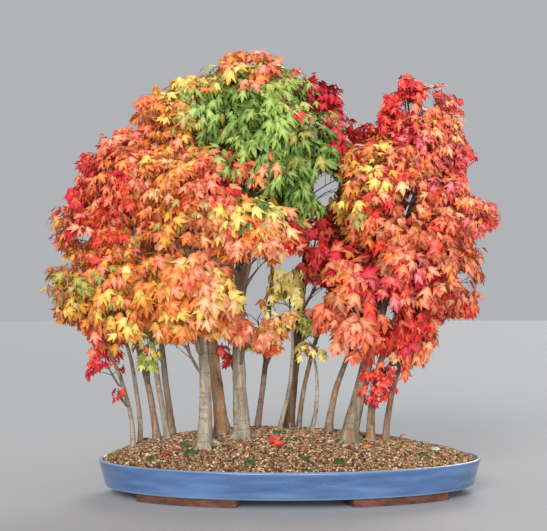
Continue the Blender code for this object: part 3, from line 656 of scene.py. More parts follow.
WRINKLES = 0.025
BARK_ROUND = (2.2, 120)  # scale of the bark's noise round a limb, and what its radius adds
FISSURE_SCALE = (1, 26)  # scales of each layer, round a limb and along it
FLAKE_SCALE = (0.6, 60)
WRINKLE_SCALE = (0.25, 420)
FLAKES_FROM = 0.28
FLAKE_DEPTH = 0.00035
SCAR_SPACING = 0.16
SCAR_REACH = (0.005, 0.004)  # up and round
SCAR_RISE = 0.10
SWELLING_GAPS = (0.016, 0.034)  # between the old leaf rings
SWELLING_REACH = 0.0016
SWELLING_RISE = 0.05
BARKS = {  # dark, middle and light tone, then the flaked patches and how many of them show
    "pale": ((96, 87, 74), (144, 133, 115), (188, 177, 158), (152, 120, 92), 0.22),
    "grey": ((92, 80, 66), (136, 122, 102), (174, 160, 138), (156, 112, 76), 0.30),
    "rosy": ((94, 70, 58), (138, 110, 94), (172, 146, 126), (146, 98, 72), 0.30),
    "flaking": ((92, 72, 54), (144, 118, 92), (196, 174, 146), (172, 116, 72), 0.50),
    "dark": ((58, 42, 34), (92, 70, 56), (126, 102, 84), (112, 74, 52), 0.25),
}
UP = Vector((0, 0, 1))


def bend(start, knee, end, along):
    """A point on the curve that leaves the start towards the knee and reaches the end."""
    back = 1 - along
    return start * back * back + knee * (2 * back * along) + end * (along * along)


class Limb:
    """A tapering limb: straight over its first step, then bent past a knee to its tip."""

    def __init__(self, first, second, knee, tip, radii, steps, crowding=1.0, flare=0.0):
        self.first, self.second, self.knee, self.tip = first, second, knee, tip
        self.radii, self.steps = radii, steps
        self.crowding, self.flare = crowding, flare
        self.straight = (second - first).length
        self.length = self.straight + (knee - second).length + (tip - knee).length

    def along(self, share):
        return (max(0.0, share * (self.steps + 1) - 1) / self.steps) ** self.crowding

    def place(self, share):
        at = share * (self.steps + 1)
        if at < 1:
            return self.first.lerp(self.second, at)
        return bend(self.second, self.knee, self.tip, self.along(share))

    def heading(self, share):
        low, high = max(0.0, share - 0.01), min(1.0, share + 0.01)
        return (self.place(high) - self.place(low)).normalized()

    def radius(self, share):
        along = self.along(share)
        plain = self.radii[0] + (self.radii[1] - self.radii[0]) * along
        if not self.flare:
            return plain
        height = self.straight + along * self.length if along else (self.place(share) - self.first).length
        return plain * (1 + self.flare * math.exp(-height / (FLARE_HEIGHT * 2 * self.radii[0])))

    def even_places(self, spacing):
        """Shares along the limb at about even distances, and its whole length."""
        samples = [at / 160 for at in range(161)]
        spots = [self.place(share) for share in samples]
        run = [0.0]
        for before, after in zip(spots, spots[1:]):
            run.append(run[-1] + (after - before).length)
        count = max(4, round(run[-1] / spacing))
        return [float(np.interp(run[-1] * at / count, run, samples)) for at in range(count + 1)], run[-1]


def trunk_limb(foot, knee, tip, radii):
    """A trunk, whose foot stands in its socket below the lowest grit around it."""
    x, y = foot
    base_radius = radii[0] * (1 + FLARE)
    around = ((x + base_radius * math.cos(a), y + base_radius * math.sin(a)) for a in full_turn(8))
    base = Vector((x, y, min(soil_height(*place) for place in around) - SOCKET_DEPTH))
    start = base + UP * (STRAIGHT_FOOT + base_radius * 0.5)
    return Limb(base, start, knee, tip, radii, TRUNK_STEPS, RING_CROWDING, FLARE)


def bark_relief(run, turn, radius, seed):
    """How far the bark stands out at a place on a limb: fissures, wrinkles and flakes."""
    around = Vector((math.cos(turn), math.sin(turn), 0.0)) * (BARK_ROUND[0] + radius * BARK_ROUND[1])
    layers = []
    for shift, (round_scale, run_scale) in zip((0, 40, 80), (FISSURE_SCALE, FLAKE_SCALE, WRINKLE_SCALE)):
        spot = (around.x * round_scale, around.y * round_scale, run * run_scale + seed + shift)
        layers.append(noise.noise(Vector(spot)))
    fissures, flakes, wrinkles = layers
    flaked = -1.0 if flakes > FLAKES_FROM else 0.0
    return radius * (FISSURES * fissures + WRINKLES * wrinkles) + FLAKE_DEPTH * flaked


def scar_rise(scars, run, turn, radius):
    """How far old branch scars stand out at a place on a limb."""
    rise = 0.0
    for height, angle in scars:
        off = (turn - angle + math.pi) % math.tau - math.pi
        near = ((run - height) / SCAR_REACH[0]) ** 2 + (off * radius / SCAR_REACH[1]) ** 2
        if near < 6:
            rise += SCAR_RISE * radius * math.exp(-near)
    return rise


def bark_mesh(name, limb, sides, seed, lobes=0.0):
    """A limb's skin with its bark in relief, closed at both ends."""
    shares, whole = limb.even_places(RING_SPACING)
    random_from = random.Random(seed)
    scars = [(random_from.uniform(0.15, 0.85) * whole, random_from.uniform(0, math.tau))
             for _ in range(int(whole / SCAR_SPACING) + 1)]
    swellings = np.cumsum([random_from.uniform(*SWELLING_GAPS) for _ in range(60)])
    swellings = [run for run in swellings if run < whole]
    heading = limb.heading(0.0)
    side = Vector((1, 0, 0)) if abs(heading.x) < 0.8 else Vector((0, 1, 0))
    rings = []
    for at, share in enumerate(shares):
        run = whole * at / (len(shares) - 1)
        heading = limb.heading(share)
        side = (side - heading * side.dot(heading)).normalized()
        other = heading.cross(side)
        radius = limb.radius(share)
        sway = [noise.noise(Vector((run * SWAY_SCALE, seed, layer))) for layer in (0, 9)]
        centre = limb.place(share) + Vector((*sway, 0)) * (SWAY * math.sin(math.pi * run / whole))
        lobe = lobes * math.exp(-LOBE_FADE * run / limb.straight)
        swelling = sum(math.exp(-(((run - spot) / SWELLING_REACH) ** 2)) for spot in swellings)
        swelling *= radius * SWELLING_RISE
        ring = []
        for turn in full_turn(sides):
            size = radius * (1 + lobe * math.cos(FLARE_LOBES * turn + seed)) + swelling
            size += bark_relief(run, turn, radius, seed) + scar_rise(scars, run, turn, radius)
            ring.append(tray_middle + centre + (side * math.cos(turn) + other * math.sin(turn)) * size)
        rings.append(ring)
    ends = [tray_middle + limb.place(share) for share in (0.0, 1.0)]
    return smoothed(capped_mesh(name, rings, ends), below=70)


def bark_finish(kind):
    dark, middle, light, flaked, amount = BARKS[kind]
    finish, tree, shader = new_finish(kind + " bark", Roughness=0.85, Specular_IOR_Level=0.3)
    grain, _ = mottled(tree, 130.0, (1.0, 1.0, 0.10), 2.6)
    clouds, _ = mottled(tree, 26.0, (1.0, 1.0, 0.35), 2.4)
    rings, _ = mottled(tree, 60.0, (0.35, 0.35, 3.0), 2.5)
    flakes, _ = mottled(tree, 95.0, (1.0, 1.0, 0.55), 4.0)
    streaks = colour_ramp(tree, grain, (0.0, dark), (0.5, middle), (1.0, light))
    weathered = laid_over(tree, streaks, ranged(tree, clouds, 0.2, 0.9, 0.0, 0.55), light)
    ringed = laid_over(tree, weathered, ranged(tree, rings, 0.70, 0.85, 0.0, 0.45), dark)
    shown = ranged(tree, flakes, 1.0 - amount * 0.75, 1.05 - amount * 0.75, 0.0, 0.8)
    feed(shader["Base Color"], laid_over(tree, ringed, shown, flaked))
    relief = joined(tree, "MULTIPLY", joined(tree, "ADD", grain, rings), 0.5)
    bumped(tree, shader, relief, 0.7, 0.0010)
    return finish


barks = {kind: bark_finish(kind) for kind in BARKS}
limbs = {}
for seed, (name, foot, knee, tip, thickness, tip_thickness, kind) in enumerate(TRUNKS):
    radii = (thickness / 2000, tip_thickness / 2000)
    limbs[name] = trunk_limb(metres(foot), Vector(metres(knee)), Vector(metres(tip)), radii)
    sides, lobes = THICK_BARK if thickness > THICK_TRUNK else THIN_BARK
    mesh = bark_mesh("bark_" + name, limbs[name], sides, seed, lobes)
    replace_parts(add_piece("bark_" + name, mesh, barks[kind]), name)

ROOTS = (  # trunk, how many roots show, and how far they run and how thick they are, in metres
    ("trunk_06", 5, 0.034, 0.0052),
    ("trunk_07", 4, 0.024, 0.0040),
    ("trunk_08", 5, 0.028, 0.0050),
    ("trunk_11", 3, 0.020, 0.0034),
    ("trunk_15", 5, 0.032, 0.0052),
)
ROOT_STEPS = 8
ROOT_TAPER = 0.75


class Tubes:
    """Many tapering tubes collected into one mesh; each ends in a point."""

    def __init__(self):
        self.points, self.faces = [], []

    def add(self, centres, radii, sides):
        start = len(self.points)
        side = (centres[-1] - centres[0]).orthogonal().normalized()
        for at, (centre, radius) in enumerate(zip(centres[:-1], radii)):
            heading = (centres[at + 1] - centres[max(at - 1, 0)]).normalized()
            side = (side - heading * side.dot(heading)).normalized()
            other = heading.cross(side)
            for turn in full_turn(sides):
                self.points.append(centre + (side * math.cos(turn) + other * math.sin(turn)) * radius)
        tip = len(self.points)
        self.points.append(centres[-1])
        skin = wall_faces(len(centres) - 1, sides) + end_faces(tip - sides - start, sides, tip - start)
        self.faces += [tuple(start + number for number in face) for face in skin]
        self.faces.append(tuple(range(start, start + sides))[::-1])

    def mesh(self, name):
        mesh = bpy.data.meshes.new(name)
        mesh.from_pydata([tuple(tray_middle + point) for point in self.points], [], self.faces)
        return smoothed(mesh, below=80)


def root_centres(limb, turn, sideways, length):
    """The middle line of a surface root, which leaves the flare and dives into the grit."""
    out = Vector((math.cos(turn), math.sin(turn), 0.0))
    across = out.cross(UP) * sideways
    centres = []
    for at in range(ROOT_STEPS + 1):
        share = at / ROOT_STEPS
        away = limb.radius(0.0) * 0.45 + length * share
        place = limb.first + out * away + across * (length * share**2)
        rise = 0.010 * (1 - share) ** 2 + 0.0012 - 0.006 * share**2
        centres.append(Vector((place.x, place.y, soil_height(place.x, place.y) + rise)))
    return centres


roots = Tubes()
random_from = random.Random(5)
for name, count, run, thick in ROOTS:
    first_turn = random_from.uniform(0, math.tau)
    for number in range(count):
        turn = first_turn + math.tau * number / count + random_from.uniform(-0.3, 0.3)
        sideways = random_from.uniform(-0.25, 0.25)
        centres = root_centres(limbs[name], turn, sideways, run * random_from.uniform(0.7, 1.15))
        radii = [thick * (1 - ROOT_TAPER * at / ROOT_STEPS) for at in range(ROOT_STEPS)]
        roots.add(centres, radii, 9)
add_piece("surface_roots", roots.mesh("surface_roots"), barks["pale"])


# ---- Boughs ----------------------------------------------------------------------------------
# Five side boughs carry the foliage that stands apart from the trunks' own tips. Each leaves its
# trunk from inside the wood and bends up past a knee. Their bark is grey and hardly flakes.

BOUGHS = (  # name, trunk and how far up it; then knee, tip, thickness, tip thickness in millimetres
    ("bough_low_back", "trunk_07", 0.42, (-165, 50, 365), (-185, 105, 385), 11, 7),
    ("bough_left_back", "trunk_07", 0.62, (-165, 60, 520), (-170, 130, 545), 12, 7),
    ("bough_green", "trunk_08", 0.66, (-80, -100, 585), (-60, -130, 625), 12, 7),
    ("bough_far_right", "trunk_15", 0.72, (255, -25, 515), (285, -5, 545), 12, 7),
    ("bough_right_back", "trunk_15", 0.6, (190, 0, 520), (185, 70, 590), 12, 7),
)
BOUGH_STEPS = 4
BOUGH_SIDES = 18
BOUGH_SEED = 40


def grow_limb(carrier, share, knee, tip, radii, steps):
    """A limb that grows out of its carrier's wood, or on from its tip, and bends past a knee."""
    point, along = carrier.place(share), carrier.heading(share)
    if share >= 1.0:
        out = along
        first = point - along * 0.004
    else:
        out = knee - point
        out = ((out - along * out.dot(along)).normalized() + along * 0.6).normalized()
        first = point + out * (carrier.radius(share) * 0.3)
    second = first + out * (2.0 * radii[0] + carrier.radius(share) * 0.7)
    return Limb(first, second, knee, tip, radii, steps)


for seed, (name, carrier, share, knee, tip, thickness, tip_thickness) in enumerate(BOUGHS, BOUGH_SEED):
    knee, tip = Vector(metres(knee)), Vector(metres(tip))
    radii = (thickness / 2000, tip_thickness / 2000)
    limbs[name] = grow_limb(limbs[carrier], share, knee, tip, radii, BOUGH_STEPS)
    mesh = bark_mesh("bark_" + name, limbs[name], BOUGH_SIDES, seed)
    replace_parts(add_piece("bark_" + name, mesh, barks["grey"]), name)


# ---- Crown: stems and twigs ------------------------------------------------------------------
# Each mass of foliage has one stem, which grows on from a trunk's tip or a bough. Branches
# leave it all round, and pairs of side shoots leave the branches, as on any maple. A branch or
# shoot that would leave the room of its mass, or close an opening, is shortened or left out.

MASSES = (  # name, carrier and how far up it; centre, reach, leaf length in millimetres; own tints
    ("leaves_left_low_front", "trunk_01", 1.0, (-360, -110, 385), (122, 120, 98), 27),
    ("leaves_left_low_back", "trunk_02", 1.0, (-340, 110, 390), (120, 120, 95), 28),
    ("leaves_left_middle", "trunk_03", 1.0, (-370, 0, 520), (112, 150, 82), 23),
    ("leaves_left_high_front", "trunk_04", 1.0, (-305, -100, 617), (114, 130, 96), 22),
    ("leaves_left_high_back", "trunk_05", 1.0, (-295, 110, 615), (112, 130, 95), 24),
    ("leaves_left_top", "trunk_07", 1.0, (-200, 0, 733), (122, 150, 87), 24),
    ("leaves_front_left", "trunk_06", 1.0, (-190, -180, 570), (115, 120, 110), 25),
    ("leaves_front_low", "trunk_06", 0.62, (-205, -170, 400), (122, 120, 92), 32),
    ("leaves_back_left", "bough_left_back", 1.0, (-170, 180, 590), (120, 120, 110), 26),
    ("leaves_back_low", "bough_low_back", 1.0, (-190, 150, 420), (115, 120, 90), 30),
    ("leaves_top", "trunk_08", 1.0, (-78, -10, 796), (118, 130, 74), 26),
    ("leaves_green_front", "bough_green", 1.0, (-45, -160, 680), (105, 110, 95), 28),
    ("leaves_green_right", "trunk_11", 0.80, (40, -100, 640), (80, 110, 100), 29),
    ("leaves_front_middle", "trunk_08", 0.56, (-75, -190, 515), (100, 100, 65), 29),
    ("leaves_back_middle", "trunk_09", 1.0, (-25, 190, 630), (100, 110, 110), 27),
    ("leaves_top_right", "trunk_11", 1.0, (52, 60, 742), (84, 120, 100), 23),
    ("leaves_back_right", "trunk_12", 1.0, (165, 190, 540), (95, 110, 100), 27),
    ("leaves_right_top", "trunk_15", 1.0, (265, -10, 710), (93, 120, 118), 23),
    ("leaves_right_front", "trunk_15", 0.67, (170, -140, 590), (100, 120, 110), 24),
    ("leaves_right_back", "bough_right_back", 1.0, (190, 110, 645), (105, 120, 105), 24),
    ("leaves_far_right", "bough_far_right", 1.0, (322, 0, 562), (97, 130, 80), 23),
    ("leaves_right_middle", "trunk_16", 1.0, (245, -145, 465), (115, 120, 100), 27),
    ("leaves_far_right_low", "trunk_17", 1.0, (308, 40, 425), (88, 130, 87), 25),
    ("leaves_right_low_front", "trunk_15", 0.50, (132, -120, 385), (105, 110, 110), 35),
    ("leaves_right_low_back", "trunk_14", 1.0, (190, 150, 410), (120, 120, 100), 29),
    ("leaves_right_low_tip", "trunk_16", 0.62, (240, -70, 310), (60, 80, 75), 31),
    ("spray_left_red", "trunk_01", 0.66, (-365, -30, 250), (34, 36, 44), 21,
     "crimson 4, scarlet 2, coral 1"),
    ("spray_left_green", "trunk_03", 0.50, (-280, -45, 288), (32, 40, 47), 25,
     "lime 4, light_green 2, yellow 1, coral 1"),
    # Its lightest yellow tint is painted light against the shade it hangs in.
    ("spray_yellow", "trunk_10", 1.0, (-5, -20, 400), (42, 45, 55), 30, "straw 6, yellow 3"),
    ("spray_small_green", "trunk_13", 1.0, (45, -10, 284), (30, 30, 26), 26, "lime 2, straw 3, yellow 3"),
    ("spray_right_red", "trunk_16", 0.28, (160, -85, 215), (37, 37, 42), 24,
     "scarlet 4, crimson 2, coral 1"),
    ("spray_middle", "trunk_09", 0.52, (-65, -10, 330), (60, 55, 50), 28,
     "peach 4, straw 3, orange 2, brick 1"),
)
SIDE_SPRAYS = (  # small sprays straight off the trunks and boughs, in the same terms
    ("side_crimson", "trunk_11", 0.66, (48, -60, 492), (44, 40, 54), 26, "crimson 5, scarlet 4, brick 1"),
    ("side_crimson_low", "trunk_11", 0.60, (62, -50, 432), (30, 34, 34), 24,
     "crimson 3, brick 3, deep_crimson 2"),
    ("side_olive", "trunk_11", 0.48, (38, -40, 336), (32, 30, 28), 25, "olive 4, light_green 2, lime 1"),
    ("side_peach", "trunk_08", 0.42, (-88, -125, 330), (42, 34, 36), 32, "salmon 4, peach 3, coral 2"),
    ("side_red", "trunk_08", 0.36, (-122, -30, 276), (22, 22, 26), 22, "crimson 1, scarlet 3, pink 2"),
    ("side_gold", "trunk_11", 0.52, (-30, -50, 350), (40, 34, 30), 26, "straw 4, gold 2, peach 2"),
    ("side_red_right", "trunk_16", 0.40, (172, -95, 255), (30, 32, 34), 24,
     "scarlet 4, crimson 2, coral 2"),
    ("side_far_right", "bough_far_right", 0.80, (338, -20, 662), (32, 36, 42), 23,
     "scarlet 4, crimson 2, pink 2"),
    ("side_right_top", "trunk_15", 0.98, (230, -20, 802), (22, 30, 22), 22, "scarlet 4, crimson 4"),
    ("side_right_notch", "trunk_15", 0.96, (190, -20, 762), (20, 30, 30), 22,
     "scarlet 3, crimson 3, coral 2"),
    ("side_right_low", "trunk_17", 0.98, (342, 0, 362), (28, 36, 26), 25, "scarlet 3, coral 3"),
    ("side_left_edge", "trunk_03", 0.98, (-418, -20, 572), (24, 34, 32), 21,
     "crimson 3, scarlet 3, coral 2"),
    ("side_left_high", "trunk_04", 0.98, (-318, -50, 702), (26, 34, 16), 20,
     "coral 3, scarlet 2, orange 2"),
    ("side_left_upper", "trunk_07", 0.90, (-279, -40, 764), (24, 34, 20), 21,
     "orange 3, coral 3, scarlet 1"),
    ("side_left_top", "trunk_07", 0.98, (-196, -20, 802), (36, 36, 20), 23,
     "gold 4, yellow 2, amber 2, olive 1"),
    ("side_low_front", "trunk_06", 0.54, (-216, -150, 318), (36, 34, 14), 28,
     "orange 4, peach 4, gold 2, coral 2"),
    ("side_amber", "trunk_09", 0.46, (-40, -10, 282), (20, 20, 10), 21, "amber 3, scarlet 1, peach 3"),
    ("side_left_mid", "trunk_03", 0.98, (-404, -30, 634), (18, 26, 28), 20,
     "scarlet 3, crimson 3, coral 2"),
    ("side_right_tip", "bough_far_right", 0.90, (388, -10, 537), (20, 26, 18), 21,
     "scarlet 3, coral 2, pink 1"),
    ("side_left_low", "trunk_01", 0.52, (-340, -30, 200), (12, 14, 16), 22, "crimson 3, scarlet 2"),
)
OPENINGS = (  # gaps that show from in front, in millimetres: place and reach, across and up
    (231, 766, 14, 14), (276, 778, 10, 20), (147, 792, 40, 54), (69, 603, 26, 36), (-64, 432, 24, 38),
    (-98, 430, 15, 34), (55, 396, 24, 16), (-74, 378, 16, 24), (191, 364, 18, 22), (-411, 509, 10, 12),
    (346, 426, 16, 16), (260, 450, 10, 10), (236, 556, 9, 20), (247, 590, 8, 20), (-346, 647, 8, 8),
    (-191, 484, 8, 8), (-6, 445, 26, 9), (398, 625, 48, 40), (362, 251, 84, 68), (422, 602, 52, 30),
    (376, 735, 26, 60), (-462, 640, 30, 34), (-367, 222, 26, 18), (275, 222, 42, 26),
    (345, 316, 50, 26), (-502, 356, 26, 40), (-22, 364, 30, 8), (202, 822, 16, 18), (-66, 346, 14, 16),
    (74, 298, 16, 18), (82, 842, 34, 26), (362, 790, 22, 30), (-470, 272, 70, 60),
)
EYE = Vector((-0.0333, -3.0, 0.468))  # where the openings are looked at from
EYE_TURN = math.radians(2.0)
OVERLAP = 0.008  # how far twigs of two masses may reach past the plane between them
RAGGED = 0.14  # how much the reach of a mass differs from way to way
SMALL_PAST = 0.20  # how far the shoots of a small mass may reach past it
SMALL_MASS = 0.070  # masses of a smaller mean reach grow by the rules for small ones
STEM_THICKNESS = 0.0105
STEM_KNEE = 0.45
STEM_TOP = 0.35
STEM_SPACING = 0.010
STEM_STEPS = 3
STEM_SIDES = 7
STEM_BARE = 0.30  # branches leave the stem from this share of it on
STEM_BEARING = 0.68  # and over this share
SMALL_STEM = 0.6  # stems, branches and shoots of small masses, over those of large ones
SMALL_BRANCH = 0.7
SMALL_SHOOT = 0.6
BRANCHES = 0.66  # per mass, over the leaf length
SMALL_BRANCHES = 13
SPARSE_BRANCHES = 6
SPARSE = ("spray_right_red", "side_red_right", "spray_left_green", "side_red", "side_left_low")
BRANCH_REACH = (0.70, 0.94)
SHORTER = (1.0, 0.86, 0.74, 0.62)
BRANCH_THICKNESS = 0.0032
BRANCH_TAPER = 0.12  # lost at each step
BRANCH_STEPS = 5
BRANCH_SIDES = 5
BRANCH_STRAY = 0.14
BRANCH_ARCH = (0.05, 0.22)  # how far a branch bows upwards and any way, over its run
BRANCH_SWERVE = 0.07
SHOOT_PLACES = (0.36, 0.52, 0.66, 0.79, 0.91)
SHOOT_LENGTH = (0.9, 1.7)  # over the leaf length
SHOOT_THICKNESS = 0.0014
SHOOT_SIDES = 3
SHOOT_TURN = 0.5
SHOOT_LEAN = (0.5, 1.0)  # along the branch, over what it has sideways
SHOOT_LIFT = 0.15
SHOOT_BOW = 0.08
THIN_SPOT = 0.34  # the crown is thin in spots, where noise at this scale passes this value
SPOT_SCALE = 24
HEART_FREE = 0.30  # no shoots end this near the middle of a large mass
TWIG_TONES = ((98, 76, 60), (150, 126, 104))


def even_direction(number, count, turn):
    """One of the count directions spread evenly over a sphere."""
    height = 1 - 2 * (number + 0.5) / count
    ring = math.sqrt(1 - height * height)
    angle = turn + number * math.pi * (3 - math.sqrt(5))
    return Vector((ring * math.cos(angle), ring * math.sin(angle), height))


def seen_from_front(point):
    """Where a point appears on the upright plane through the tray's middle, across and up."""
    x = point.x * math.cos(EYE_TURN) - point.y * math.sin(EYE_TURN)
    y = point.x * math.sin(EYE_TURN) + point.y * math.cos(EYE_TURN)
    nearer = EYE.y / (EYE.y - y)
    return (x - EYE.x) * nearer + EYE.x, (point.z - EYE.z) * nearer + EYE.z


def nearness(point, place):
    """Below 1 where a point, as seen from in front, lies inside the oval of a place."""
    across, up = seen_from_front(point)
    return math.hypot((across - place[0]) / place[2], (up - place[1]) / place[3])


openings = [metres(opening) for opening in OPENINGS]


def in_opening(point):
    return any(nearness(point, opening) < 1 for opening in openings)


class Mass:
    """The room of one mass of foliage: an oval, cut flat towards each neighbour."""

    def __init__(self, name, carrier, share, centre, reach, leaf_length, tints=""):
        reach = metres(reach)
        self.carrier, self.share, self.tints = carrier, share, tints
        self.centre, self.reach = Vector(metres(centre)), Vector(reach)
        self.leaf_length = leaf_length / 1000
        self.size = sum(reach) / 3
        self.small = self.size < SMALL_MASS
        self.branches = SMALL_BRANCHES if self.small else round(BRANCHES / self.leaf_length)
        if name in SPARSE:
            self.branches = SPARSE_BRANCHES
        self.planes = []

    def meet(self, other):
        apart = other.centre - self.centre
        share = self.size / (self.size + other.size)
        self.planes.append((self.centre + apart * share, apart.normalized()))

    def fill(self, point):
        """0 at the centre of the mass and 1 where its reach ends."""
        offset = point - self.centre
        return Vector(offset[axis] / self.reach[axis] for axis in range(3)).length

    def edge(self, point):
        """The fill at which leaves end in the direction of a point, which makes a ragged edge."""
        heading = (point - self.centre).normalized()
        return 1.0 - RAGGED * noise.noise(heading * 2.6 + self.centre * 30)

    def holds(self, point):
        past = SMALL_PAST if self.small else 0.0
        if self.fill(point) > self.edge(point) + past or in_opening(point):
            return False
        return all((point - place).dot(away) < OVERLAP for place, away in self.planes)


def curve_points(start, middle, end, count):
    return [bend(start, middle, end, at / count) for at in range(count + 1)]


def random_vector(random_from, size):
    return Vector(random_from.uniform(-size, size) for _ in range(3))


twigs = Tubes()
shoots = []  # each is its mass and its root, bow and tip
masses = [Mass(*row) for row in MASSES]
for mass in masses:
    for other in masses:
        if other is not mass:
            mass.meet(other)
masses += [Mass(*row) for row in SIDE_SPRAYS]


def grow_shoots(mass, start, middle, end, random_from):
    """Pairs of side shoots along a branch, each pair turned from the one before, and its tip."""
    side = (end - start).cross(UP).normalized()
    places = SHOOT_PLACES[3:] if mass.small else SHOOT_PLACES
    for pair, place in enumerate((*places, 1.0)):
        root = bend(start, middle, end, place)
        along = (root - bend(start, middle, end, place - 0.05)).normalized()
        turn = random_from.uniform(-SHOOT_TURN, SHOOT_TURN) + (math.pi / 2 if pair % 2 else 0.0)
        way = side * math.cos(turn) + along.cross(side) * math.sin(turn)
        for out in (way, -way) if place < 1.0 else (Vector(),):
            heading = (along * random_from.uniform(*SHOOT_LEAN) + out + UP * SHOOT_LIFT).normalized()
            length = mass.leaf_length * random_from.uniform(*SHOOT_LENGTH)
            length *= SMALL_SHOOT if mass.small else 1.0
            tip = root + heading * length
            spotted = noise.noise(tip * SPOT_SCALE) > THIN_SPOT
            thin = not mass.small and (spotted or mass.fill(tip) < HEART_FREE)
            if thin or not mass.holds(tip):
                continue
            bow = root.lerp(tip, 0.5) + UP * (SHOOT_BOW * length)
            radii = (SHOOT_THICKNESS / 2, SHOOT_THICKNESS / 3)
            twigs.add(curve_points(root, bow, tip, 2), radii, SHOOT_SIDES)
            shoots.append((mass, root, bow, tip))


def grow_stem(mass):
    """The stem of a mass, from what carries it up into the middle of the leaves."""
    carrier = limbs[mass.carrier]
    low = carrier.place(mass.share)
    top = mass.centre + UP * (mass.reach.z * STEM_TOP)
    knee = mass.centre + (low - mass.centre).normalized() * (mass.size * STEM_KNEE)
    thickness = min(STEM_THICKNESS, 2 * carrier.radius(mass.share)) * (SMALL_STEM if mass.small else 1.0)
    stem = grow_limb(carrier, mass.share, knee, top, (thickness / 2, thickness / 5), STEM_STEPS)
    shares, _ = stem.even_places(STEM_SPACING)
    radii = [stem.radius(share) for share in shares]
    twigs.add([stem.place(share) for share in shares], radii, STEM_SIDES)
    return stem


for seed, mass in enumerate(masses):
    random_from = random.Random(seed)
    stem = grow_stem(mass)
    thick = BRANCH_THICKNESS / 2 * (SMALL_BRANCH if mass.small else 1.0)
    turn = random_from.uniform(0, math.tau)
    for number in range(mass.branches):
        heading = even_direction(number, mass.branches, turn) + random_vector(random_from, BRANCH_STRAY)
        heading.normalize()
        start = stem.place(STEM_BARE + STEM_BEARING * (heading.z + 1) / 2)
        reach = random_from.uniform(*BRANCH_REACH)
        for shorter in SHORTER:
            end = mass.centre + heading * mass.reach * reach * shorter
            if mass.holds(end):
                break
        else:
            continue
        run = (end - start).length
        middle = start.lerp(end, 0.45) + UP * (run * random_from.uniform(*BRANCH_ARCH))
        middle += random_vector(random_from, BRANCH_SWERVE) * run
        radii = [thick * (1 - BRANCH_TAPER * at) for at in range(BRANCH_STEPS)]
        twigs.add(curve_points(start, middle, end, BRANCH_STEPS), radii, BRANCH_SIDES)
        grow_shoots(mass, start, middle, end, random_from)


def twig_finish(name, dark, light):
    finish, tree, shader = new_finish(name, Roughness=0.7)
    patches, _ = mottled(tree, 70.0, (1.0, 1.0, 0.6))
    feed(shader["Base Color"], colour_ramp(tree, patches, (0.0, dark), (1.0, light)))
    return finish


twig_piece = add_piece("twigs", twigs.mesh("twigs"), twig_finish("twig bark", *TWIG_TONES))
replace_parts(twig_piece, *[row[0] for row in MASSES])


# ---- Crown: leaves ---------------------------------------------------------------------------
# Small three-lobed leaves in opposite pairs on reddish stalks, hanging with their tips down.
# They turn at different times, so each shoot has its own autumn tint. A leaf's heart, along its
# veins, is a shade lighter than its lobes. Hearts and lobes of a tint are each one piece.

TINTS = {  # lobes, heart, slot
    "deep_crimson": ((150, 20, 36), (182, 36, 48), "crimson"),
    "crimson": ((198, 30, 50), (222, 62, 70), "crimson"),
    "scarlet": ((228, 60, 48), (240, 104, 76), "red"),
    "pink": ((228, 92, 100), (242, 142, 140), "red"),
    "brick": ((186, 80, 52), (212, 120, 80), "red"),
    "coral": ((236, 108, 76), (248, 156, 114), "coral"),
    "salmon": ((242, 136, 98), (252, 182, 138), "coral"),
    "rust": ((172, 92, 50), (204, 130, 76), "orange"),
    "orange": ((236, 126, 58), (248, 166, 92), "orange"),
    "peach": ((244, 166, 108), (252, 206, 152), "orange"),
    "amber": ((230, 152, 60), (246, 190, 92), "amber"),
    "gold": ((236, 188, 82), (250, 220, 128), "gold"),
    "yellow": ((242, 212, 106), (252, 234, 156), "gold"),
    # A yellow made lighter as painted light, so that sprays hanging in shade among the trunks still look
    # bright.
    "straw": ((252, 230, 128), (255, 242, 176), "gold"),
    "olive": ((156, 144, 66), (190, 178, 98), "lime"),
    "lime": ((176, 184, 84), (208, 212, 122), "lime"),
    "light_green": ((146, 172, 76), (182, 200, 116), "green"),
    "green": ((112, 142, 60), (148, 174, 92), "green"),
    "deep_green": ((82, 110, 46), (114, 142, 74), "green"),
}
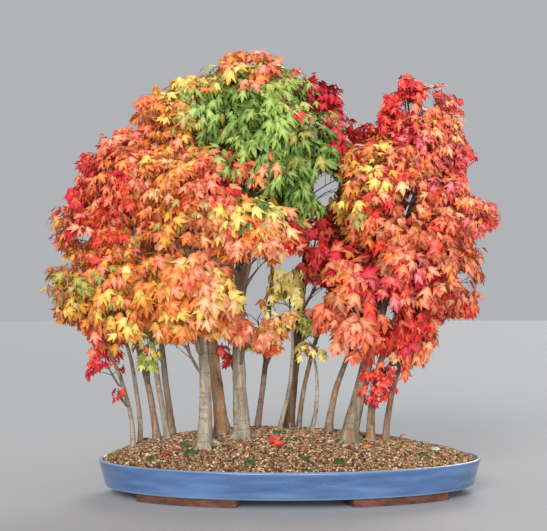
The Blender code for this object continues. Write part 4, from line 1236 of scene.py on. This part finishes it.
PATCHES = (  # place and reach as for the openings, then the weight of each tint
    (-299, 748, 60, 32, "orange 3, coral 3, amber 2, rust 2"),
    (-243, 794, 52, 30, "gold 4, amber 3, yellow 2, olive 2, orange 1"),
    (-329, 691, 48, 36, "coral 4, orange 3, scarlet 2, salmon 2"),
    (-395, 661, 48, 40, "scarlet 4, crimson 4, coral 2"),
    (-435, 581, 40, 52, "scarlet 3, coral 3, crimson 2, salmon 2, brick 1"),
    (-359, 571, 60, 52, "coral 4, scarlet 3, orange 2, salmon 2"),
    (-249, 671, 60, 36, "orange 4, salmon 2, amber 2, coral 2, gold 1"),
    (-259, 617, 56, 32, "orange 3, salmon 3, peach 1, amber 2, brick 1"),
    (-229, 557, 52, 32, "rust 3, orange 3, brick 2, amber 2, olive 1"),
    (-166, 605, 40, 40, "coral 4, scarlet 3, salmon 3, crimson 1"),
    (-419, 501, 60, 44, "coral 3, brick 2, amber 2, orange 2, scarlet 1"),
    (-309, 501, 60, 36, "orange 3, amber 3, coral 2, salmon 2, gold 1"),
    (-442, 402, 52, 56, "amber 3, gold 3, rust 2, olive 2, lime 1"),
    (-289, 446, 52, 36, "gold 4, yellow 1, lime 1, amber 2, orange 3, coral 1"),
    (-369, 382, 56, 48, "gold 2, amber 3, orange 4, olive 1, coral 2"),
    (-412, 316, 34, 22, "brick 3, scarlet 3, rust 2, coral 1"),
    (-279, 358, 56, 40, "orange 4, amber 3, gold 3"),
    (-200, 412, 40, 36, "coral 3, salmon 3, orange 2, peach 1"),
    (-200, 482, 56, 36, "orange 3, peach 3, salmon 2, gold 2, rust 1"),
    (-200, 346, 52, 36, "orange 4, peach 4, gold 2, salmon 1"),
    (-136, 406, 40, 40, "yellow 4, gold 4, peach 3, salmon 1"),
    (-90, 330, 48, 32, "salmon 5, peach 3, coral 2, orange 1"),
    (-136, 491, 60, 32, "orange 4, salmon 3, peach 2, coral 1"),
    (-96, 555, 50, 18, "yellow 5, gold 3, lime 1"),
    (-50, 512, 48, 30, "orange 4, salmon 3, peach 2, coral 1, gold 1"),
    (-40, 474, 44, 20, "gold 3, peach 3, orange 2, salmon 1"),
    (-104, 637, 56, 20, "orange 3, salmon 3, coral 2, peach 2"),
    (-92, 597, 40, 24, "deep_green 4, olive 2, green 2, coral 1"),
    (-80, 864, 84, 24, "orange 3, salmon 3, coral 3, peach 2"),
    (-150, 824, 52, 30, "olive 4, gold 2, orange 2, lime 2"),
    (-64, 828, 52, 24, "lime 3, light_green 3, salmon 2, orange 1"),
    (-168, 760, 42, 44, "olive 3, green 3, light_green 2, deep_green 2"),
    (-222, 744, 34, 36, "olive 3, gold 3, orange 2, amber 2, green 1"),
    (-90, 764, 60, 52, "light_green 4, green 4, deep_green 1"),
    (-10, 790, 48, 56, "light_green 4, lime 4, yellow 1"),
    (-70, 685, 68, 36, "light_green 4, green 4, lime 1, coral 1"),
    (55, 697, 44, 56, "green 4, olive 3, deep_green 2"),
    (4, 601, 52, 48, "light_green 4, green 4, deep_green 1"),
    (69, 790, 52, 52, "crimson 4, deep_crimson 3, scarlet 1, brick 1"),
    (135, 717, 56, 28, "crimson 5, scarlet 3, deep_crimson 1"),
    (152, 663, 58, 46, "amber 4, orange 3, gold 3, olive 2, coral 2, salmon 1"),
    (235, 784, 56, 48, "scarlet 5, crimson 3, coral 1"),
    (268, 760, 22, 32, "peach 3, salmon 2, pink 2, coral 2"),
    (328, 738, 36, 40, "peach 3, gold 2, coral 2, scarlet 3, pink 1"),
    (298, 661, 64, 44, "pink 4, coral 3, scarlet 2, salmon 3, peach 1"),
    (219, 651, 52, 40, "coral 3, pink 3, salmon 3, orange 2, scarlet 2, peach 2"),
    (113, 541, 56, 32, "olive 4, amber 2, coral 3, gold 2, rust 2, salmon 1"),
    (199, 586, 52, 30, "salmon 2, coral 3, scarlet 2, brick 2, rust 2, amber 1"),
    (59, 491, 36, 40, "crimson 5, scarlet 4"),
    (358, 541, 60, 52, "coral 4, scarlet 2, salmon 3, pink 2, orange 2, peach 1"),
    (258, 531, 68, 48, "coral 4, brick 2, salmon 3, orange 2, rust 2, scarlet 2"),
    (72, 424, 30, 30, "crimson 3, brick 3, salmon 2, rust 2"),
    (119, 446, 52, 40, "scarlet 3, salmon 3, orange 2, coral 2, amber 1, crimson 2"),
    (338, 452, 56, 48, "salmon 4, coral 3, orange 2, brick 2, peach 1"),
    (189, 412, 64, 40, "salmon 4, scarlet 3, coral 3, pink 2"),
    (308, 382, 68, 44, "scarlet 3, coral 4, salmon 4, crimson 1, brick 1, orange 1"),
    (99, 346, 56, 44, "coral 5, salmon 4"),
    (209, 312, 52, 36, "scarlet 4, coral 3, crimson 1"),
    (248, 266, 52, 32, "salmon 4, pink 2, peach 2, coral 2"),
)
STRAY = 0.013  # about how far a shoot's tint may come from beside its own place
OWN_TINT = 0.7  # the share of leaves that have their shoot's tint
CROWN_MIDDLE = Vector((-0.03, 0.0, 0.50))
LIGHT_FROM = Vector((0.0, -1.1, 0.6))  # the open side, which the leaves low among the trunks face
PAIRS = (0.97, 0.64, 0.30)  # where pairs of leaves stand on a shoot
SMALL_PAIRS = (0.95, 0.55)
LEAF_SIZE = (0.58, 1.16)  # over the mass's leaf length
LEAF_WIDTH = (0.80, 1.10)
LEAF_HANG = (0.45, 1.30)
LEAF_FOLD = (-0.10, 0.45)
LEAF_DROOP = (0.0, 0.40)
STALK_LENGTH = (0.25, 0.45)  # over the leaf's own
NARROW = 0.66  # leaves that are still green are narrower for their length
LONGER = 1.22  # and longer
LEAF_PAST = 0.5  # the share of a leaf that may stand out of its mass
LEAF_CLEAR = 0.004  # how far leaves and stalks keep off the wood
STALK_CLEAR = 0.001
STALK_RADIUS = 0.00045
STALK_TONES = ((120, 44, 30), (176, 88, 50))
FALLEN = (  # leaves that have dropped on the grit: place and length in millimetres, and tint
    (-212, -123, 24, "scarlet"), (-236, -131, 20, "crimson"), (-20, -139, 30, "scarlet"),
    (-32, -128, 26, "coral"), (-6, -150, 24, "scarlet"), (-24, -103, 26, "scarlet"),
    (-168, -143, 18, "coral"), (-132, -123, 20, "brick"), (-184, -103, 20, "crimson"),
    (12, -159, 16, "brick"), (150, -120, 20, "coral"), (232, 40, 24, "coral"),
    (-150, 120, 24, "orange"), (60, 140, 24, "scarlet"), (-260, 80, 24, "gold"),
)
FALLEN_LIFT = 0.0055

# A leaf, one unit long: the points of its right half, then the faces of its heart and of its
# lobes. Points v lie on the vein, points o on the outline and points p between them.
LEAF = {
    "v0": (0.00, 0.00), "v1": (0.00, 0.34), "v3": (0.00, 0.80), "v4": (0.00, 1.06),
    "o1": (0.20, 0.08), "o2": (0.33, 0.34), "o3": (0.54, 0.76), "o4": (0.17, 0.52),
    "o5": (0.19, 0.68), "o6": (0.10, 0.88), "p1": (0.12, 0.24), "p2": (0.32, 0.52), "p3": (0.09, 0.46),
}
HEART = ("v0 p1 v1", "v1 p1 p3", "p1 p2 p3", "v1 p3 v3")
LOBES = ("v0 o1 p1", "o1 o2 p1", "o2 p2 p1", "o2 o3 p2", "p2 o3 o4", "p2 o4 p3", "p3 o4 o5", "p3 o5 v3",
         "v3 o5 o6", "v3 o6 v4")
NAMES = list(LEAF)
OUTER = [name for name in NAMES if name[0] != "v"]
LEAF_POINTS = np.array([*LEAF.values(), *((-LEAF[name][0], LEAF[name][1]) for name in OUTER)])


def leaf_faces(faces):
    """The corner numbers of one half's faces and, mirrored, of the other half's."""
    numbers = []
    for face in faces:
        right = [NAMES.index(name) for name in face.split()]
        left = [len(NAMES) + OUTER.index(NAMES[at]) if NAMES[at] in OUTER else at for at in right]
        numbers += [right, left[::-1]]
    return np.array(numbers)


HEART_FACES = leaf_faces(HEART)
LOBE_FACES = leaf_faces(LOBES)


class Leaves:
    """Leaves that share a tint: where each starts, which way it points and faces, and its form."""

    def __init__(self):
        self.rows = []

    def add(self, root, heading, face, length, width, fold, droop):
        self.rows.append((*root, *heading, *face, length, width, fold, droop))

    def points(self):
        rows = np.array(self.rows)
        root, heading, face = rows[:, None, 0:3], rows[:, None, 3:6], rows[:, None, 6:9]
        length, width, fold, droop = (rows[:, at, None] for at in range(9, 13))
        side = np.cross(heading, face)
        x, y = LEAF_POINTS[:, 0] * width, LEAF_POINTS[:, 1][None, :]
        fall = fold * np.abs(x) ** 1.25 + droop * y**2
        forward = y * (1 - 0.25 * droop * y)
        flat = side * x[..., None] + heading * forward[..., None] - face * fall[..., None]
        return root + flat * length[..., None]

    def mesh(self, name, faces):
        """One part of every leaf as a mesh of triangles."""
        used, numbers = np.unique(faces, return_inverse=True)
        corners = self.points()[:, used].reshape(-1, 3) + np.array(tray_middle)
        shift = np.arange(len(self.rows))[:, None, None] * len(used)
        triangles = (numbers.reshape(faces.shape)[None] + shift).reshape(-1, 3)
        mesh = bpy.data.meshes.new(name)
        mesh.vertices.add(len(corners))
        mesh.vertices.foreach_set("co", corners.astype(np.float32).ravel())
        mesh.loops.add(triangles.size)
        mesh.loops.foreach_set("vertex_index", triangles.astype(np.int32).ravel())
        mesh.polygons.add(len(triangles))
        mesh.polygons.foreach_set("loop_start", np.arange(0, triangles.size, 3, dtype=np.int32))
        mesh.update(calc_edges=True)
        mesh.validate()
        mesh.shade_smooth()
        return mesh


def pick(words, random_from):
    """Draws a tint from words such as "coral 3, scarlet 2", by the weights they give."""
    weights = dict(word.split() for word in words.split(", "))
    return random_from.choices(list(weights), [int(weight) for weight in weights.values()])[0]


patches = [(metres(place), words) for *place, words in PATCHES]


def shoot_tint(mass, point, random_from):
    """The tint of a shoot: its mass's own, or drawn from the patch of the crown it hangs in."""
    if mass.tints:
        return pick(mass.tints, random_from)
    stray = Vector((random_from.gauss(0, STRAY), 0.0, random_from.gauss(0, STRAY)))
    return pick(min(patches, key=lambda patch: nearness(point + stray, patch[0]))[1], random_from)


def squared(face, heading):
    """A face direction set square to a heading."""
    return (face - heading * face.dot(heading)).normalized()


def hanging_leaf(way, outward, random_from):
    """The heading and the face of a leaf that hangs from its stalk towards the light."""
    heading = way * 0.55 + outward * 0.40 + random_vector(random_from, 0.60)
    heading = (heading - UP * random_from.uniform(*LEAF_HANG)).normalized()
    face = outward + random_vector(random_from, 0.52) + UP * 0.45
    return heading, squared(face, heading)


def leaf_ways(mass, root, tip):
    """Where leaves leave a shoot and which way: one at its tip, and opposite pairs below it."""
    along = (tip - root).normalized()
    side = (tip - root).cross(UP).normalized()
    ways = [(1.0, along)]
    for pair, place in enumerate(SMALL_PAIRS if mass.small else PAIRS):
        across = side if pair % 2 else (side + along.cross(side) * 0.8).normalized()
        ways += [(place, (across + along * 0.4).normalized()), (place, (along * 0.4 - across).normalized())]
    return ways


wood = [(limb.place(at / 60), limb.radius(at / 60)) for limb in limbs.values() for at in range(61)]
wood_tree = kdtree.KDTree(len(wood))
for number, (point, _) in enumerate(wood):
    wood_tree.insert(point, number)
wood_tree.balance()


def clear_of_wood(point, room):
    return all(apart > wood[number][1] + room for _, number, apart in wood_tree.find_n(point, 2))


def fits(mass, foot, middle, end):
    """Whether a leaf keeps to the room of its mass, out of openings and clear of the wood."""
    past = LEAF_PAST * mass.leaf_length / mass.size
    if mass.fill(end) > mass.edge(end) + past or in_opening(middle) or in_opening(end):
        return False
    return clear_of_wood(middle, LEAF_CLEAR) and clear_of_wood(foot, STALK_CLEAR)


stalks = Tubes()
tinted = {tint: Leaves() for tint in TINTS}
random_from = random.Random(2024)
for mass, root, bow, tip in shoots:
    tint = shoot_tint(mass, tip, random_from)
    for place, way in leaf_ways(mass, root, tip):
        start = bend(root, bow, tip, place)
        own = tint if random_from.random() < OWN_TINT else shoot_tint(mass, start, random_from)
        longer, narrow = (LONGER, NARROW) if "green" in own else (1.0, 1.0)
        length = mass.leaf_length * random_from.uniform(*LEAF_SIZE) * longer
        lit = LIGHT_FROM if mass.small else (start - CROWN_MIDDLE).normalized()
        outward = ((start - mass.centre).normalized() + lit * 0.7).normalized()
        reach = (way + outward * 0.4 + UP * 0.15).normalized()
        foot = start + reach * length * random_from.uniform(*STALK_LENGTH)
        heading, face = hanging_leaf(way, outward, random_from)
        if not fits(mass, foot, foot + heading * (length * 0.5), foot + heading * length):
            continue
        width = random_from.uniform(*LEAF_WIDTH) * narrow
        fold, droop = random_from.uniform(*LEAF_FOLD), random_from.uniform(*LEAF_DROOP)
        tinted[own].add(foot, heading, face, length, width, fold, droop)
        stalks.add((start, foot), (STALK_RADIUS,), 3)
for *sizes, tint in FALLEN:
    x, y, length = metres(sizes)
    turn = random_from.uniform(0, math.tau)
    heading = Vector((math.cos(turn), math.sin(turn), random_from.uniform(0.0, 0.5))).normalized()
    face = (Vector((0, -0.4, 1)) + random_vector(random_from, 0.40)).normalized()
    foot = Vector((x, y, soil_height(x, y) + FALLEN_LIFT))
    tinted[tint].add(foot, heading, squared(face, heading), length, 1.0, 0.25, 0.15)
add_piece("leaf_stalks", stalks.mesh("leaf_stalks"), twig_finish("stalk red", *STALK_TONES))


def leaf_finish(name, colour):
    return new_finish(name, Roughness=0.45, Specular_IOR_Level=0.35, Base_Color=linear(colour))[0]


for tint, (lobe_colour, heart_colour, slot) in TINTS.items():
    for part, colour, faces in (("lobes", lobe_colour, LOBE_FACES), ("hearts", heart_colour, HEART_FACES)):
        name = f"leaf_{part}_{tint}"
        add_piece(name, tinted[tint].mesh(name, faces), leaf_finish(name, colour))


# ---- Floor, light and camera -----------------------------------------------------------------
# A plain pale floor and soft studio light from three wide suns: one above the front and to the
# left, one low from the front, and a weaker one from behind. The camera looks along the tray's
# short side, a little turned and tilted down.

FLOOR_REACH = 8.0
FLOOR_GREY = (0.52, 0.52, 0.52, 1.0)
SUNS = (  # name, where it shines from, strength, how wide it appears in degrees
    ("key", (-0.9, -2.9, 1.4), 1.6, 22.0),
    ("front", (0.5, -3.1, 0.12), 1.95, 20.0),
    ("back", (0.9, 2.6, 1.6), 1.0, 30.0),
)
SKY = (0.80, 0.82, 0.85, 1.0)
SKY_STRENGTH = 0.55
CAMERA_PLACE = Vector((-0.138, -2.997, 0.468))
CAMERA_TURN = 2.0
CAMERA_TILT = 0.33
CAMERA_LENS = 99.15
CAMERA_SENSOR = 36.0

shape = bmesh.new()
bmesh.ops.create_grid(shape, x_segments=2, y_segments=2, size=FLOOR_REACH)
floor = add_object("floor", mesh_from(shape, "floor"))
floor.data.materials.append(new_finish("pale floor", Roughness=0.75, Base_Color=FLOOR_GREY)[0])
floor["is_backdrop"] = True

for name, place, strength, width in SUNS:
    sun = bpy.data.lights.new(name, "SUN")
    sun.energy = strength
    sun.angle = math.radians(width)
    holder = add_object(name, sun)
    holder.location = place
    holder.rotation_euler = (-Vector(place)).to_track_quat("-Z", "Y").to_euler()
world = bpy.data.worlds.new("studio")
world.use_nodes = True
sky = world.node_tree.nodes["Background"].inputs
sky["Color"].default_value = SKY
sky["Strength"].default_value = SKY_STRENGTH
bpy.context.scene.world = world

view = bpy.data.cameras.new("camera")
view.lens = CAMERA_LENS
view.sensor_width = CAMERA_SENSOR
camera = add_object("camera", view)
camera.location = tray_middle + CAMERA_PLACE
camera.rotation_euler = (math.radians(90 - CAMERA_TILT), 0.0, math.radians(-CAMERA_TURN))
bpy.context.scene.camera = camera
bpy.context.scene.view_settings.view_transform = "Standard"

sizes = {"cad": [list(corner) for corner in cad_box], "visual": [list(corner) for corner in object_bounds()]}
